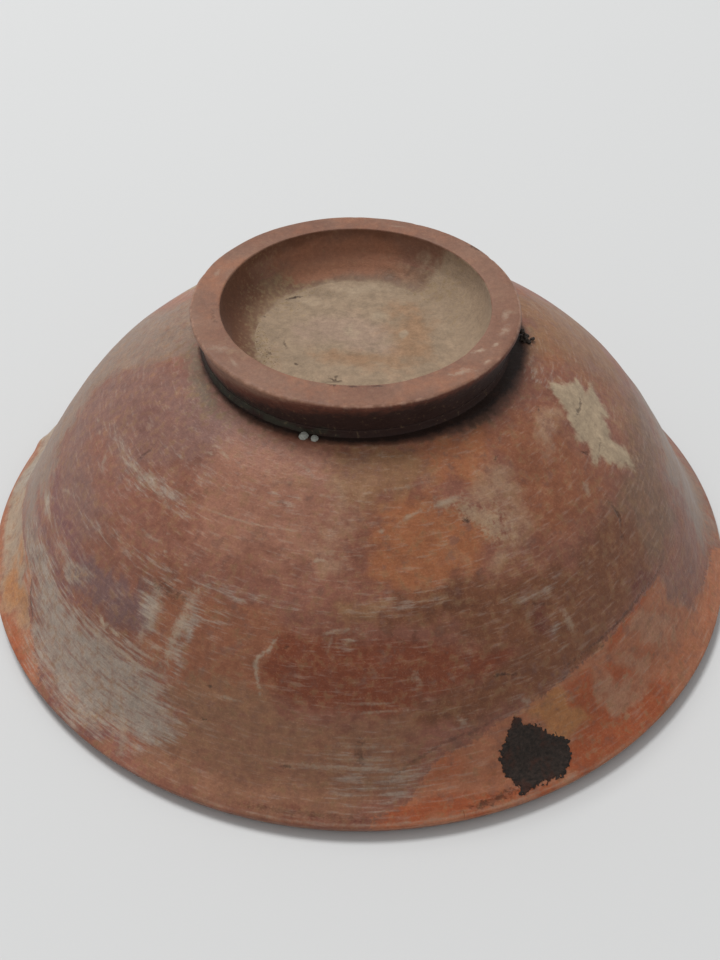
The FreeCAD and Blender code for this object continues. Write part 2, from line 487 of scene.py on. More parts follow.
def turnBetween(a, b):
    # the turn from azimuth b to azimuth a in degrees, the short way round
    return (a - b + 180) % 360 - 180


def softPatches(across, up, patches, isTurn):
    # soft-edged patches: middle, half size each way and strength, added up
    total = np.zeros(len(across))
    for middleA, middleB, halfA, halfB, strength in patches:
        offset = turnBetween(across, middleA) if isTurn else across - middleA
        total += strength * np.exp(-((offset / halfA) ** 2 + ((up - middleB) / halfB) ** 2))
    return total


def distanceToOutline(across, up, outline):
    # mm to a closed outline, negative inside it
    best = np.full(len(across), farAway)
    inside = np.zeros(len(across), bool)
    for (ax, ay), (bx, by) in zip(outline, outline[1:] + outline[:1]):
        dx, dy = bx - ax, by - ay
        t = np.clip(((across - ax) * dx + (up - ay) * dy) / (dx * dx + dy * dy), 0, 1)
        best = np.minimum(best, np.hypot(across - ax - t * dx, up - ay - t * dy))
        crosses = (ay > up) != (by > up)
        inside ^= crosses & (across < ax + (up - ay) * dx / (dy or 1))
    return np.where(inside, -best, best)


def wallOutline(azimuth, run, radius, outline):
    # the same, for an outline given in azimuth and run
    middle = sum(a for a, s in outline) / len(outline)
    perDegree = math.radians(1) * np.interp(sum(s for a, s in outline) / len(outline), radius[0], radius[1])
    flat = [((a - middle) * perDegree, s) for a, s in outline]
    return distanceToOutline(turnBetween(azimuth, middle) * perDegree, run, flat)


markValues = {
    "reach": 3.0,  # a mark's field goes this far past its edge,
    "fade": 1.5,  # and ends over this length
    "clear": (9.0, 9.0, 0.0),  # a point that no mark is near
    "ragged": 1.4,
    "edge": (2.3, 0.6),  # where a mark starts and is full, as shares of its half width
}


def layMarks(piece, name, marks, unroll, shown):
    # thin marks: across and along each, as shares of its half width and half length, and its strength.
    # Marks close to each other go to separate fields.
    layers = []
    for halfWidth, strength, path in marks:
        spots, flat = unroll(path)  # mm in a plane
        reach = markValues["reach"] + halfWidth
        near = np.all((spots[:, :2] > flat.min(0) - reach) & (spots[:, :2] < flat.max(0) + reach), axis=1)
        near &= shown > 0
        close = spots[near, :2]
        best = np.full(len(close), farAway)
        across, along = np.zeros(len(close)), np.zeros(len(close))
        walked = 0.0
        for i, (a, b) in enumerate(zip(flat, flat[1:])):
            length = np.linalg.norm(b - a)
            way = (b - a) / length
            t = (close - a) @ way
            side = (close - a) @ np.array((-way[1], way[0]))
            gap = np.hypot(side, t - np.clip(t, 0, length))
            t = np.where((t < 0) & (i > 0), 0, np.where((t > length) & (i < len(flat) - 2), length, t))
            closer = gap < best
            best = np.where(closer, gap, best)
            across = np.where(closer, side, across)
            along = np.where(closer, walked + t, along)
            walked += length
        fade = np.clip((reach - best) / markValues["fade"], 0, 1)
        touched = np.flatnonzero(near)[fade > 0]
        value = np.stack([across / halfWidth, (along - walked / 2) / (walked / 2 + halfWidth),
                          fade * strength], 1)[fade > 0]
        for layer in layers:
            if not np.any(layer[touched, 2]):
                break
        else:
            layer = np.tile(np.array(markValues["clear"]), (len(spots), 1))
            layers.append(layer)
        layer[touched] = value
    for i, layer in enumerate(layers):
        storeField(piece, name + str(i), layer)
    return len(layers)


# What lies where on the bowl's outside: how soft the edges are in mm, outlines in azimuth and run,
# and round patches of azimuth, run, half size of each and strength.
bowlZones = {
    "rosy": (7, (
        ((-134, 102), (-131, 82), (-122, 67), (-97, 68), (-93, 90), (-97, 102)),
        ((100, 100), (102, 72), (150, 74), (160, 100)),
    ), ()),
    "mauve": (6, (
        ((-178, 88), (-168, 96), (-152, 102), (-132, 102), (-129, 84), (-141, 76), (-147, 60), (-150, 46),
         (-166, 46), (-178, 55), (-181, 72)),
    ), ((116, 36, 14, 10, 0.8),)),
    "russet": (3.5, (
        ((-166, 66), (-150, 69), (-140, 67.5), (-128, 66), (-112, 65), (-98, 62), (-99, 56), (-118, 59),
         (-132, 60), (-146, 61), (-160, 61)),
        ((128, 64), (160, 66), (164, 56), (130, 56)),
    ), ()),
    "brown": (4, (
        ((-127, 56), (-114, 59), (-103, 57), (-100, 40), (-103, 30), (-116, 32), (-124, 36)),
        ((40, 60), (66, 62), (70, 40), (44, 36)),
    ), ()),
    "orange": (5, (
        ((-93, 70), (-84, 65), (-74, 63), (-67, 67), (-63, 74), (-66, 84), (-74, 88), (-86, 84)),
        ((-72, 92), (-60, 88), (-52, 93), (-50, 102), (-76, 102)),
        ((44, 66), (60, 64), (84, 68), (90, 84), (70, 92), (48, 86)),
    ), ()),
    "tawny": (5, (
        ((-95, 102), (-94, 90), (-87, 84), (-74, 89), (-68, 95), (-74, 102)),
        ((-14, 66), (-8, 71), (-6, 80), (-4, 90), (-12, 102), (30, 102), (32, 62), (0, 63)),
        ((90, 102), (92, 84), (128, 88), (130, 102)),
    ), (
        (-89, 61, 6, 4, 0.7), (-106, 90, 8, 4, 0.4), (-74, 84, 6, 3, 0.5), (-60, 65, 8, 3, 0.5),
        (-40, 80, 6, 3, 0.3),
    )),
    "chestnut": (5, (
        ((-51, 97), (-36, 99), (-27, 97), (-26, 84), (-29, 74), (-27, 64), (-40, 63), (-50, 67),
         (-54, 76), (-52, 86)),
    ), ((36, 92, 12, 8, 0.6), (-1, 75, 8, 13, 1.0), (-3, 93, 9, 5, 0.5))),
    "dusty": (4, (), (
        (-57, 85, 7, 6, 0.8), (-54, 74, 5, 6, 0.6), (-62, 69, 5, 4, 0.5), (-97, 76, 5, 9, 0.5),
        (-92, 88, 5, 6, 0.5), (-84, 63, 5, 4, 0.3), (-32, 92, 6, 5, 0.7), (-27, 84, 4, 5, 0.5),
        (-11, 71, 5, 5, 0.4),
    )),
    "dun": (5, (
        ((-33, 62), (-18, 63), (-8, 65), (6, 62), (6, 52), (-8, 50), (-15, 44), (-16, 37), (-28, 36),
         (-31, 44)),
        ((96, 60), (124, 60), (126, 42), (98, 44)),
    ), ((2, 75, 8, 12, 0.7),)),
    "olive": (4, (
        ((-122, 34), (-112, 42), (-103, 38), (-98, 28), (-100, 18), (-108, 13), (-116, 18)),
        ((60, 34), (84, 38), (86, 30), (62, 26)),
    ), ((-50, 38, 8, 5, 0.6), (-41, 50, 6, 6, 0.5), (-24, 52, 6, 8, 0.6), (-66, 60, 6, 2, 0.5))),
    "brick": (3.5, (
        ((-105, 53), (-98, 56), (-88, 54), (-82, 52), (-74, 49), (-67, 47), (-66, 42), (-74, 38),
         (-84, 36.5), (-94, 36), (-101, 37), (-106, 44)),
        ((44, 56), (60, 58), (80, 52), (78, 44), (56, 42), (46, 46)),
    ), ((-93, 44, 8, 5, 0.4),)),
    "smoke": (3.5, (
        ((-84, 65), (-74, 65.5), (-64, 63), (-56, 61), (-50, 57), (-34, 61), (-29, 53), (-28, 42),
         (-29, 37.5), (-44, 36), (-57, 31), (-70, 29), (-80, 31), (-84, 36), (-72, 39), (-66, 44),
         (-69, 50), (-76, 54), (-86, 57)),
        ((78, 64), (96, 66), (106, 54), (102, 40), (86, 42), (82, 54)),
    ), ()),
    "dark": (3, (), (
        (-75, 60, 6, 4, 0.9), (-66, 57, 7, 2.5, 0.6), (-63, 37, 8, 3, 0.45), (-83, 52, 5, 3, 0.5),
        (-73, 33, 6, 2.4, 0.6), (-77, 46, 4, 5, 0.4), (-33, 57, 2, 5, 0.5), (-125, 53.6, 3, 1.2, 0.7),
        (-147.5, 77, 1, 3, 0.5), (90, 56, 7, 4, 0.8),
    )),
    "maroon": (1.6, (
        ((-62, 52), (-57, 54), (-54, 50), (-57, 45), (-61, 46)),
        ((-38, 41), (-33, 42.5), (-30, 39.5), (-30.5, 36.5), (-37, 36.5)),
        ((-112, 8.4), (-100, 9.2), (-88, 9), (-86.5, 5.6), (-112, 5.8)),
    ), (
        (-84, 54, 5, 3, 0.4), (-56, 41, 4, 3, 0.4), (-118, 49, 3, 3, 0.5), (-42, 38.5, 5, 1.4, 0.4),
        (-97, 33, 8, 3, 0.3), (120, 44, 5, 4, 0.7),
    )),
    "wine": (2.5, (
        ((-174, 47), (-164, 48.5), (-150, 48), (-145, 44), (-152, 42), (-162, 43), (-172, 42.5)),
        ((-171, 35), (-160, 35.5), (-148, 37.5), (-139, 35.5), (-150, 32.5), (-165, 32.5)),
        ((-143, 8.6), (-124, 9.2), (-122, 6), (-143, 6)),
    ), ((-23, 21, 4, 3, 0.5), (-155, 84, 7, 7, 0.4), (-16, 60, 6, 5, 0.4), (-105, 12, 8, 4, 0.4))),
    "violet": (3.5, (
        ((-147, 47), (-138, 49.5), (-127, 48.5), (-125, 41), (-130, 37.5), (-138, 36.5), (-148, 38),
         (-151, 43)),
    ), (
        (-134, 43, 5, 3, 0.5), (-20, 20, 4, 4, 0.6), (-58, 33, 8, 1.6, 0.5), (-57, 45, 6, 4, 0.35),
        (128, 36, 7, 6, 0.9),
    )),
    "umber": (4, (
        ((-120, 21), (-110, 25), (-99, 31), (-88, 35), (-78, 34), (-79, 28), (-84, 20), (-87.5, 12),
         (-92, 6), (-120, 6)),
    ), ((58, 20, 8, 8, 0.7), (110, 20, 10, 8, 0.6))),
    "veil": (5.5, (
        ((-164, 31), (-150, 34), (-140, 32), (-128, 33.5), (-120, 30), (-116, 21), (-119, 12), (-124, 9),
         (-142, 8.5), (-147, 12), (-153, 16.5), (-157, 22), (-164, 24.5), (-172, 26)),
        ((130, 30), (142, 34), (160, 32), (176, 22), (174, 8), (128, 8)),
    ), (
        (-165, 40, 6, 2.4, 1.0), (-149, 40.5, 6, 2.8, 0.9), (-126.5, 46, 2.6, 7, 0.9),
        (-110, 84, 12, 2.5, 0.35), (-86, 100, 6, 2, 0.3), (-88, 17, 6, 8, 0.5), (-57, 56, 6, 1.4, 0.5),
        (-53, 44, 2, 4, 0.5), (-82, 62, 6, 3, 0.3), (-116, 52, 3, 5, 0.3), (-92, 53.5, 3, 2, 0.5),
        (-16, 96, 7, 5, 0.4), (-134, 82, 14, 1.6, 0.3), (-140, 73, 11, 2.6, 0.7), (-158, 73, 7, 2, 0.5),
        (-120.5, 46, 1.6, 11, 0.8), (-110, 60, 12, 2, 0.4), (-135, 56, 10, 2.4, 0.4),
        (-150, 54, 8, 2, 0.3), (76, 84, 10, 4, 0.5), (26, 74, 8, 8, 0.4),
    )),
    # grey-beige where the wall turns away at both sides of the view: dust and a painted sheen
    "flankDustAndSheen": (6, (
        ((-203, 20), (-211, 34), (-202, 50), (-213, 66), (-204, 84), (-214, 103), (-170, 103), (-174, 91),
         (-178, 82), (-182, 70), (-180, 57), (-177, 48), (-171, 42.5), (-168, 40), (-170, 33.5),
         (-164, 31), (-158, 27), (-168, 25), (-182, 19)),
        ((-8, 46), (-2, 49), (10, 50), (34, 48), (38, 30), (36, 8), (-5, 8), (-10, 16), (-9, 30),
         (-10, 40)),
    ), ((-5, 95, 5, 5, 0.3),)),
    "chalk": (2, (), (
        (-65, 79.5, 3.0, 4.2, 1.1), (-61, 76, 3.6, 3.4, 0.8), (-57, 72, 2.6, 2.4, 0.5),
        (-69.5, 84, 3.6, 1.3, 0.8), (-16, 60, 2.6, 3.4, 0.5), (-153, 95, 6, 2, 0.3),
        (-110, 89, 6, 1.2, 0.4), (-93, 54, 3, 1.6, 0.4), (-146, 40.8, 3.4, 2.2, 0.7),
        (-124.5, 12, 1.8, 4.5, 0.5), (-131, 13, 4, 3, 0.4), (-35, 69, 1.2, 1.6, 0.7),
        (-149, 99, 20, 1.6, 0.4), (58, 70, 4, 3, 0.8), (110, 84, 5, 2, 0.6),
    )),
    "sand": (2.2, (
        ((-225, 4), (-222, 12), (-188, 16), (-172, 21), (-163, 23.5), (-158.5, 22), (-157, 16),
         (-151, 12), (-149, 9.4), (-160, 8.2), (-172, 9)),
    ), ()),
    "ochre": (1.8, (
        ((-66, 27.5), (-61, 30), (-57, 29.5), (-55, 24), (-55.5, 18), (-60, 16.5), (-63, 22)),
        ((64, 14), (66, 24), (74, 25), (76, 14)),
    ), ((-163, 20, 5, 3, 0.7), (-158, 12, 8, 4, 0.9))),
    "ember": (1.6, (
        ((-56.5, 32), (-53, 31.5), (-52, 25), (-54, 19), (-51, 13), (-42, 15.5), (-38, 13), (-36, 6),
         (-58, 6), (-60, 12), (-56.5, 19)),
        ((-49, 27.5), (-46.5, 29), (-46.5, 24), (-45.5, 19), (-48, 20)),
        ((-158, 7), (-149, 7.8), (-142, 7.8), (-142, 6), (-166, 5.8)),
        ((-156, 20.5), (-152.5, 16), (-147.5, 12.6), (-152, 12.8), (-157, 18)),
        ((-92, 8.6), (-84, 11), (-70, 9), (-62, 8), (-62, 5.6), (-92, 5.6)),
        ((-48, 33.2), (-40, 34.6), (-31, 35), (-31, 32.6), (-40, 31.6), (-48, 31.2)),
        ((76, 14), (84, 18), (92, 12), (92, 6), (76, 6)),
    ), (
        (-79, 17, 5, 6, 0.6), (-41, 22, 5, 8, 0.55), (-33, 12, 5, 4, 0.4), (-20, 8.6, 9, 1.6, 0.5),
        (-70, 13, 3, 4, 0.35),
    )),
    "rose": (2, (
        ((-53, 24), (-49, 25.5), (-46, 18), (-44, 14), (-47, 12), (-52, 13.5)),
        ((-46, 27), (-42.6, 26), (-41.5, 21), (-44.5, 18.5)),
        ((-40, 31), (-34, 31), (-31, 22), (-35, 16), (-38, 22)),
    ), ((-77, 14, 4, 4, 0.4), (84, 24, 4, 5, 0.6))),
    "dusk": (3, (
        ((-29, 37), (-18, 38), (-11, 30), (-12, 17), (-19, 13.6), (-27, 17), (-29.5, 26)),
    ), ((-52, 29.5, 4, 1.6, 0.4),)),
    "soil": (1.5, (), (
        (-158, 100, 26, 4.0, 0.9), (-150, 93, 8, 3, 0.3), (-50, 102, 12, 1.4, 0.8),
        (-5, 101, 14, 2.0, 0.6), (90, 101, 60, 1.6, 0.7),
    )),
}
bareOutlines = (
    ((-88, 7.5), (-84, 10), (-82.5, 12), (-80.5, 17), (-79, 20), (-77.5, 22), (-75, 23), (-72, 24.5),
     (-69, 27), (-65, 28), (-62, 29.5), (-58, 31), (-55, 32.5), (-50, 33), (-47, 34), (-42, 34.8),
     (-34, 35.5), (-31, 35.5), (-28, 34.0), (-26, 27), (-25, 17), (-17, 13), (-8, 10), (-6, 5),
     (-50, 3.5), (-88, 4)),
    ((-230, 6), (-226, 11), (-204, 14), (-188, 15), (-178, 18), (-171, 20), (-167, 21), (-163, 22.5),
     (-159, 23.5), (-157, 23), (-156, 20), (-155, 17), (-152.5, 14.5), (-149, 12.5), (-146.5, 10.5),
     (-144, 9), (-142, 7), (-143, 4), (-230, 4)),
    ((58, 4), (60, 14), (64, 22), (70, 27), (77, 26), (84, 30), (90, 25), (93, 15), (98, 10), (101, 4)),
)
splashOutlines = (
    ((-27.8, 73), (-26, 74.5), (-24, 76.5), (-25.8, 77.5), (-26.3, 78.5), (-25.8, 80.5), (-25.5, 82.5),
     (-24.5, 84.5), (-23, 86), (-22, 88), (-20.5, 90.5), (-19, 93), (-16, 93.5), (-14, 90), (-12, 87),
     (-8.5, 85), (-9.5, 83), (-12, 82.3), (-10, 80.8), (-5.3, 80), (-8, 78.6), (-10, 76.5), (-11.5, 73.5),
     (-14, 75), (-17, 72), (-19, 70.5), (-17.8, 68), (-17.5, 65.5), (-18.5, 63.5), (-19, 60.5),
     (-20.3, 63), (-22, 65.5), (-23.5, 68), (-24.5, 71.5), (-27, 72.3)),
    ((128, 80), (133, 88), (140, 90), (138, 82), (143, 76), (136, 72), (131, 74)),
)
# half width in mm, strength, path in azimuth and run
paleMarks = (
    # first, the lip's corner along the front: pale wear with a painted highlight
    (0.35, 0.3, ((-112, 5.9), (-98, 5.9), (-84, 6.0), (-70, 6.0), (-56, 5.9), (-46, 5.9))),
    (0.6, 0.45, ((-103, 19.8), (-96, 20.3), (-90, 20.2), (-84, 20))),
    (0.5, 0.4, ((-93, 26), (-89, 26), (-85, 25.8))), (0.5, 0.4, ((-93, 22.6), (-88, 22.7), (-84, 22.5))),
    (0.7, 0.8, ((-72.5, 83.5), (-70, 84.2), (-67.5, 84.5))),
    (0.5, 0.4, ((-82.8, 89.5), (-79, 89.6), (-76, 90))),
    (0.5, 0.5, ((-80.3, 81.5), (-78, 82.6), (-76, 83.3))), (0.5, 0.6, ((-85.3, 79.3), (-84.8, 79.4))),
    (0.4, 0.6, ((-99, 71), (-98, 72), (-96.5, 71.8))), (0.4, 0.4, ((-100, 87.7), (-97.5, 87.4))),
    (0.5, 0.4, ((-107.5, 94.8), (-105, 94.2), (-103.5, 93))), (0.5, 0.5, ((-133, 88.3), (-131.5, 89))),
    (0.45, 0.5, ((-132, 90.8), (-130.5, 91.3))), (0.45, 0.4, ((-128.8, 90.4), (-127, 90))),
    (0.8, 0.5, ((-148, 72.6), (-143, 73.4), (-138, 73), (-133, 71.6))),
    (1.3, 0.25, ((-159, 73), (-154, 72.6), (-150, 71.5))), (0.9, 0.5, ((-157, 66.8), (-155.5, 65.4))),
    (0.4, 0.5, ((-170, 67), (-168.5, 67.5))), (0.5, 0.5, ((-165.3, 67.3), (-164.7, 67.4))),
    (0.3, 0.35, ((-129, 76), (-120, 76.6), (-110, 77.5), (-100, 78.5))),
    (0.45, 0.5, ((-118, 59.5), (-117.6, 59.6))), (0.4, 0.5, ((-123.8, 61.5), (-123.3, 61.6))),
    (0.4, 0.5, ((-129, 61.8), (-128.6, 61.9))), (0.4, 0.4, ((-130.2, 66), (-129.8, 66.1))),
    (0.4, 0.45, ((-135.5, 62.8), (-133, 62.7), (-131, 63))),
    (1.2, 0.75, ((-119.8, 56), (-120.5, 50), (-121, 44), (-121.5, 36))),
    (1.9, 0.45, ((-127, 50), (-126.3, 46), (-126.8, 43))), (0.9, 0.4, ((-127.3, 43), (-127, 38))),
    (0.7, 0.85, ((-136, 36.5), (-134.8, 35))), (0.7, 0.6, ((-134.2, 36.4), (-135, 34.6))),
    (0.6, 0.8, ((-133, 35.8), (-131, 35.5))),
    (0.6, 0.6, ((-140, 31.5), (-132, 31.9), (-125, 32), (-118, 33))),
    (0.5, 0.45, ((-130, 35), (-126, 35.4), (-122, 35.5))), (0.6, 0.5, ((-125, 37.6), (-122.8, 39.4))),
    (0.55, 0.8, ((-104, 50.2), (-104.8, 48), (-106.2, 46), (-106.3, 44), (-105.8, 41), (-105.2, 38))),
    (0.9, 0.4, ((-122.3, 30), (-121.5, 25))), (1.3, 0.45, ((-126, 15), (-124, 8))),
    (0.5, 0.55, ((-96, 54), (-93.5, 55.4), (-91, 55.5))), (0.4, 0.4, ((-94.5, 53), (-94.8, 50.5))),
    (0.35, 0.4, ((-90, 34.8), (-86, 35.2), (-82.5, 35.2))), (0.35, 0.4, ((-90, 37.2), (-85, 37.2))),
    (0.4, 0.5, ((-112, 33.7), (-108, 33.8))), (0.8, 0.5, ((-81, 44), (-80.6, 42))),
    (0.8, 0.55, ((-74.6, 30.5), (-74, 28.8))), (0.9, 0.55, ((-64.3, 31), (-63.7, 29.8))),
    (0.9, 0.5, ((-53.4, 48), (-53, 45), (-52.6, 42))), (0.6, 0.25, ((-63, 55.5), (-59, 55), (-56, 53.5))),
    (0.7, 0.5, ((-153, 39.5), (-150, 39.7))), (0.8, 0.5, ((-167, 39.2), (-163.5, 40.2), (-160, 39.4))),
    (0.5, 0.45, ((-162.5, 48), (-160, 50.2), (-158, 51.5))), (0.5, 0.4, ((-164, 42.5), (-162.5, 44))),
    (0.8, 0.5, ((-149, 38.6), (-146, 41.6), (-142.6, 42.6))), (0.5, 0.6, ((-12, 91), (-11.4, 91.1))),
    (0.5, 0.5, ((0.5, 85), (1.1, 85.2))), (0.8, 0.5, ((-35.5, 69), (-34.6, 70.4))),
    (0.6, 0.5, ((40, 52), (46, 53), (52, 52))), (0.5, 0.5, ((88, 72), (96, 73), (104, 72))),
    (1.0, 0.5, ((120, 60), (121, 52), (120, 46))), (0.5, 0.5, ((70, 58), (71, 63))),
    (0.4, 0.4, ((20, 90), (26, 91))), (0.7, 0.5, ((150, 70), (155, 71.5))),
)
darkMarks = (
    (1.0, 0.55, ((-89.6, 26.4), (-89.5, 22.8))), (0.5, 0.35, ((-84.6, 18), (-82, 21.5), (-78.5, 24.2))),
    (0.6, 0.35, ((-77, 25.4), (-73, 26.2), (-69.5, 28.2))),
    (0.35, 0.5, ((-156.5, 21.8), (-154.6, 18.6), (-152, 16))),
    (0.9, 0.7, ((-74.5, 7.2), (-71, 7.6), (-68.5, 8.6))),
    (0.7, 0.25, ((-104, 7.6), (-98, 7.9), (-90, 7.6))),
    (0.35, 0.7, ((-68.5, 39.5), (-67, 39.2), (-65.3, 38.2))),
    (0.4, 0.35, ((-58.4, 53.2), (-57, 52), (-55.6, 51.2))), (0.5, 0.5, ((-32, 62), (-32, 57), (-34, 53))),
    (0.4, 0.45, ((-147.5, 80), (-148, 75))), (0.55, 0.8, ((-66.4, 78.7), (-66, 78.4))),
    (0.5, 0.7, ((-28.7, 76.3), (-28.2, 75.6))), (0.4, 0.7, ((-52, 90), (-51.6, 90.2))),
    (0.4, 0.7, ((-29, 92.5), (-28.7, 92.6))), (1.3, 0.4, ((-127, 53.4), (-122.4, 53.8))),
    (0.5, 0.6, ((-100.4, 19), (-99.7, 19.2))), (0.4, 0.6, ((-113.2, 35), (-112.8, 35.2))),
    (0.4, 0.6, ((-113.2, 26), (-112.8, 26.1))), (0.35, 0.5, ((-102, 49.5), (-101.6, 49.7))),
    (0.5, 0.45, ((-55, 34.6), (-46, 35.4), (-36, 36.8), (-29, 36))),
    (0.5, 0.5, ((-20, 83), (-17, 82.6), (-15, 83.2))), (0.4, 0.45, ((-24, 72.8), (-21, 73.4))),
    (0.5, 0.7, ((70, 45), (72, 44))), (0.4, 0.6, ((110, 66), (112, 65))),
    (0.5, 0.6, ((30, 60), (30.5, 57))),
)
print("marks listed:", len(paleMarks), "pale,", len(darkMarks), "dark")

# The recess inside the foot ring, and the ring's inner side: middle x and y, half size of each and
# strength.
recessPatches = {
    "flesh": ((-5, 5, 11, 7, 0.9), (2, -2, 8, 6, 0.6), (-14, 1, 6, 5, 0.5), (6, -6, 8, 4, 0.4)),
    "tan": (
        (13, 6, 7, 7, 0.9), (15, -4, 6, 6, 0.9), (-5, -9, 11, 4, 0.8), (6, -10, 9, 4, 0.5),
        (10, 14, 9, 5, 0.5),
    ),
    "filmPale": (
        (4, 11, 2.2, 3.2, 0.9), (11.4, 2, 1.4, 2.4, 1.0), (0, 24, 16, 5, 0.5), (-16, 16, 9, 7, 0.4),
        (27, 4, 5, 10, 0.5), (-2, 3, 3, 5, 0.5), (4, -5, 2, 3, 0.4),
    ),
    "grime": (
        (-24, 20, 6, 7, 0.6), (-30, 2, 3.4, 12, 0.6), (21, 21, 7, 5, 0.6), (-27, -11, 4, 8, 0.5),
        (27, 8, 3, 8, 0.4), (-16, 24, 8, 3, 0.5), (-18, 12, 5, 5, 0.3),
    ),
}
# pits and slots in the recess: half width in mm, strength, path in x and y
recessMarks = (
    (0.45, 0.9, ((-21, 18), (-19.5, 18.6), (-17.2, 19.2))), (0.5, 0.8, ((-20.8, 23.6), (-20.2, 23.2))),
    (0.4, 0.8, ((-14.6, 27.8), (-14.4, 27.2))), (0.35, 0.7, ((-8, -18), (-6.6, -19.6))),
    (0.35, 0.7, ((-6.4, -17.6), (-6.8, -20.4))), (0.3, 0.6, ((-5.4, -19.4), (-7.6, -19.8))),
    (0.5, 0.9, ((28, 7.6), (28.2, 6.6))), (0.35, 0.7, ((20, 23), (20.2, 21.2))),
    (0.35, 0.7, ((21.6, 22.2), (22.2, 21.4))), (0.35, 0.7, ((25.4, 21), (25.8, 19.8))),
    (0.4, 0.6, ((-28, 11), (-27.2, 9.6))), (0.35, 0.6, ((-21, -2.6), (-20.4, -4.2))),
    (0.35, 0.6, ((-17.4, -12), (-17, -12.4))), (0.35, 0.6, ((-32.4, -6), (-31.4, -9))),
    (0.35, 0.5, ((-25, -7), (-24.4, -7.8))), (0.3, 0.5, ((11, 25), (11.8, 24.2))),
    (0.35, 0.6, ((-28.4, 18.6), (-28, 19.2))), (0.3, 0.5, ((24.6, 11.6), (24.8, 11))),
)

# Soot and painted shade under the foot ring, darkest at the front and right, away from the lamp, by
# azimuth: on the ring's outside full below one height and none above the other, and on the bowl's wall from
# a run, where it also paints the ring's shadow.
sootAndShadeLine = ((-180, -1.6, 2, 102), (-150, -1.0, 4, 101.8), (-135, 0, 6.5, 100.7), (-118, 1.5, 10, 100.2),
            (-100, 3.5, 13, 100.6), (-80, 4.5, 14, 100.4), (-62, 5, 14.5, 99.6), (-45, 5, 14, 97.8),
            (-30, 4.5, 13, 98.6), (-15, 3, 11, 100.2), (0, 2, 9, 99.6), (40, 0, 7, 100.8),
            (120, -1, 5, 101.4), (180, -1.6, 2, 102))

# How the bowl's surface departs from its line, and where its finishes begin. "Clouds" are size, seed
# and height.
bowlShape = {
    "outside": (6.5, 98),  # the uneven stretch of the outer wall, by run
    "inside": (-4, 12),  # the ridged inside: past this run, outside this radius
    "drift": ((1, 0.7, 1.4), (2, 0, 0.8)),  # the ridges wander: waves round the bowl, phase, height
    "ridges": ((1.15, 0, 0.5), (2.3, 1.3, 1), (0.71, 0.4, 0.35)),  # length for each radian, phase, share
    "outerRidge": 0.045,
    "innerRidge": 0.12,
    "lumps": ((26, 1, 0.16), (9, 2, 0.07)),
    "lumpFade": 20,
    "knob": ((162, 6.5, 1.6, 2.6, 0.9),),  # a bit of clay left on the lip behind
    "splashLift": 0.14,  # the dried splash is this thick
    "splashEdge": 1.2,
    "splashClouds": ((2.5, 3, 0.5),),
    "splashThin": ((-25, 89, 6, 7, 1.8), (-14, 93, 5, 4, 1.0)),  # thin at its upper end
    "recessStart": 102.5,  # the run where the outer wall ends
    "recessFlat": (30, 4, 0.8),  # radius of its uneven floor, the fade to it, share of the wall's lumps
    "recessEdge": 37.5,
    "blurAcross": ((15, 4, 1), (5, 14, 0.45)),
    "blurUp": ((15, 5, 1), (5, 15, 0.45)),
    "zoneBlur": (3.0, 2.6),  # noise moves the zones' edges this far: degrees, mm
    "stainBlur": 2,
    "sootAndShadeBlur": 0.5,
    "zoneSpan": (3, 103),  # zones and marks lie on this stretch of the wall, by run
    "markSpan": (2, 103),
    "fieldLimit": 20,  # distances to an outline are kept up to this
    "splashLimit": 2,
    "sootAndShadeRadius": 38,  # no soot or painted shade inside the foot ring
    "wheelRadius": 40,
}


def storeStains(piece, names, points, blur, within):
    # the recess's stains, their edges moved by the blur
    across, up = points[:, 0] + blur[:, 0], points[:, 1] + blur[:, 1]
    for name in names:
        storeField(piece, name, softPatches(across, up, recessPatches[name], False) * within)


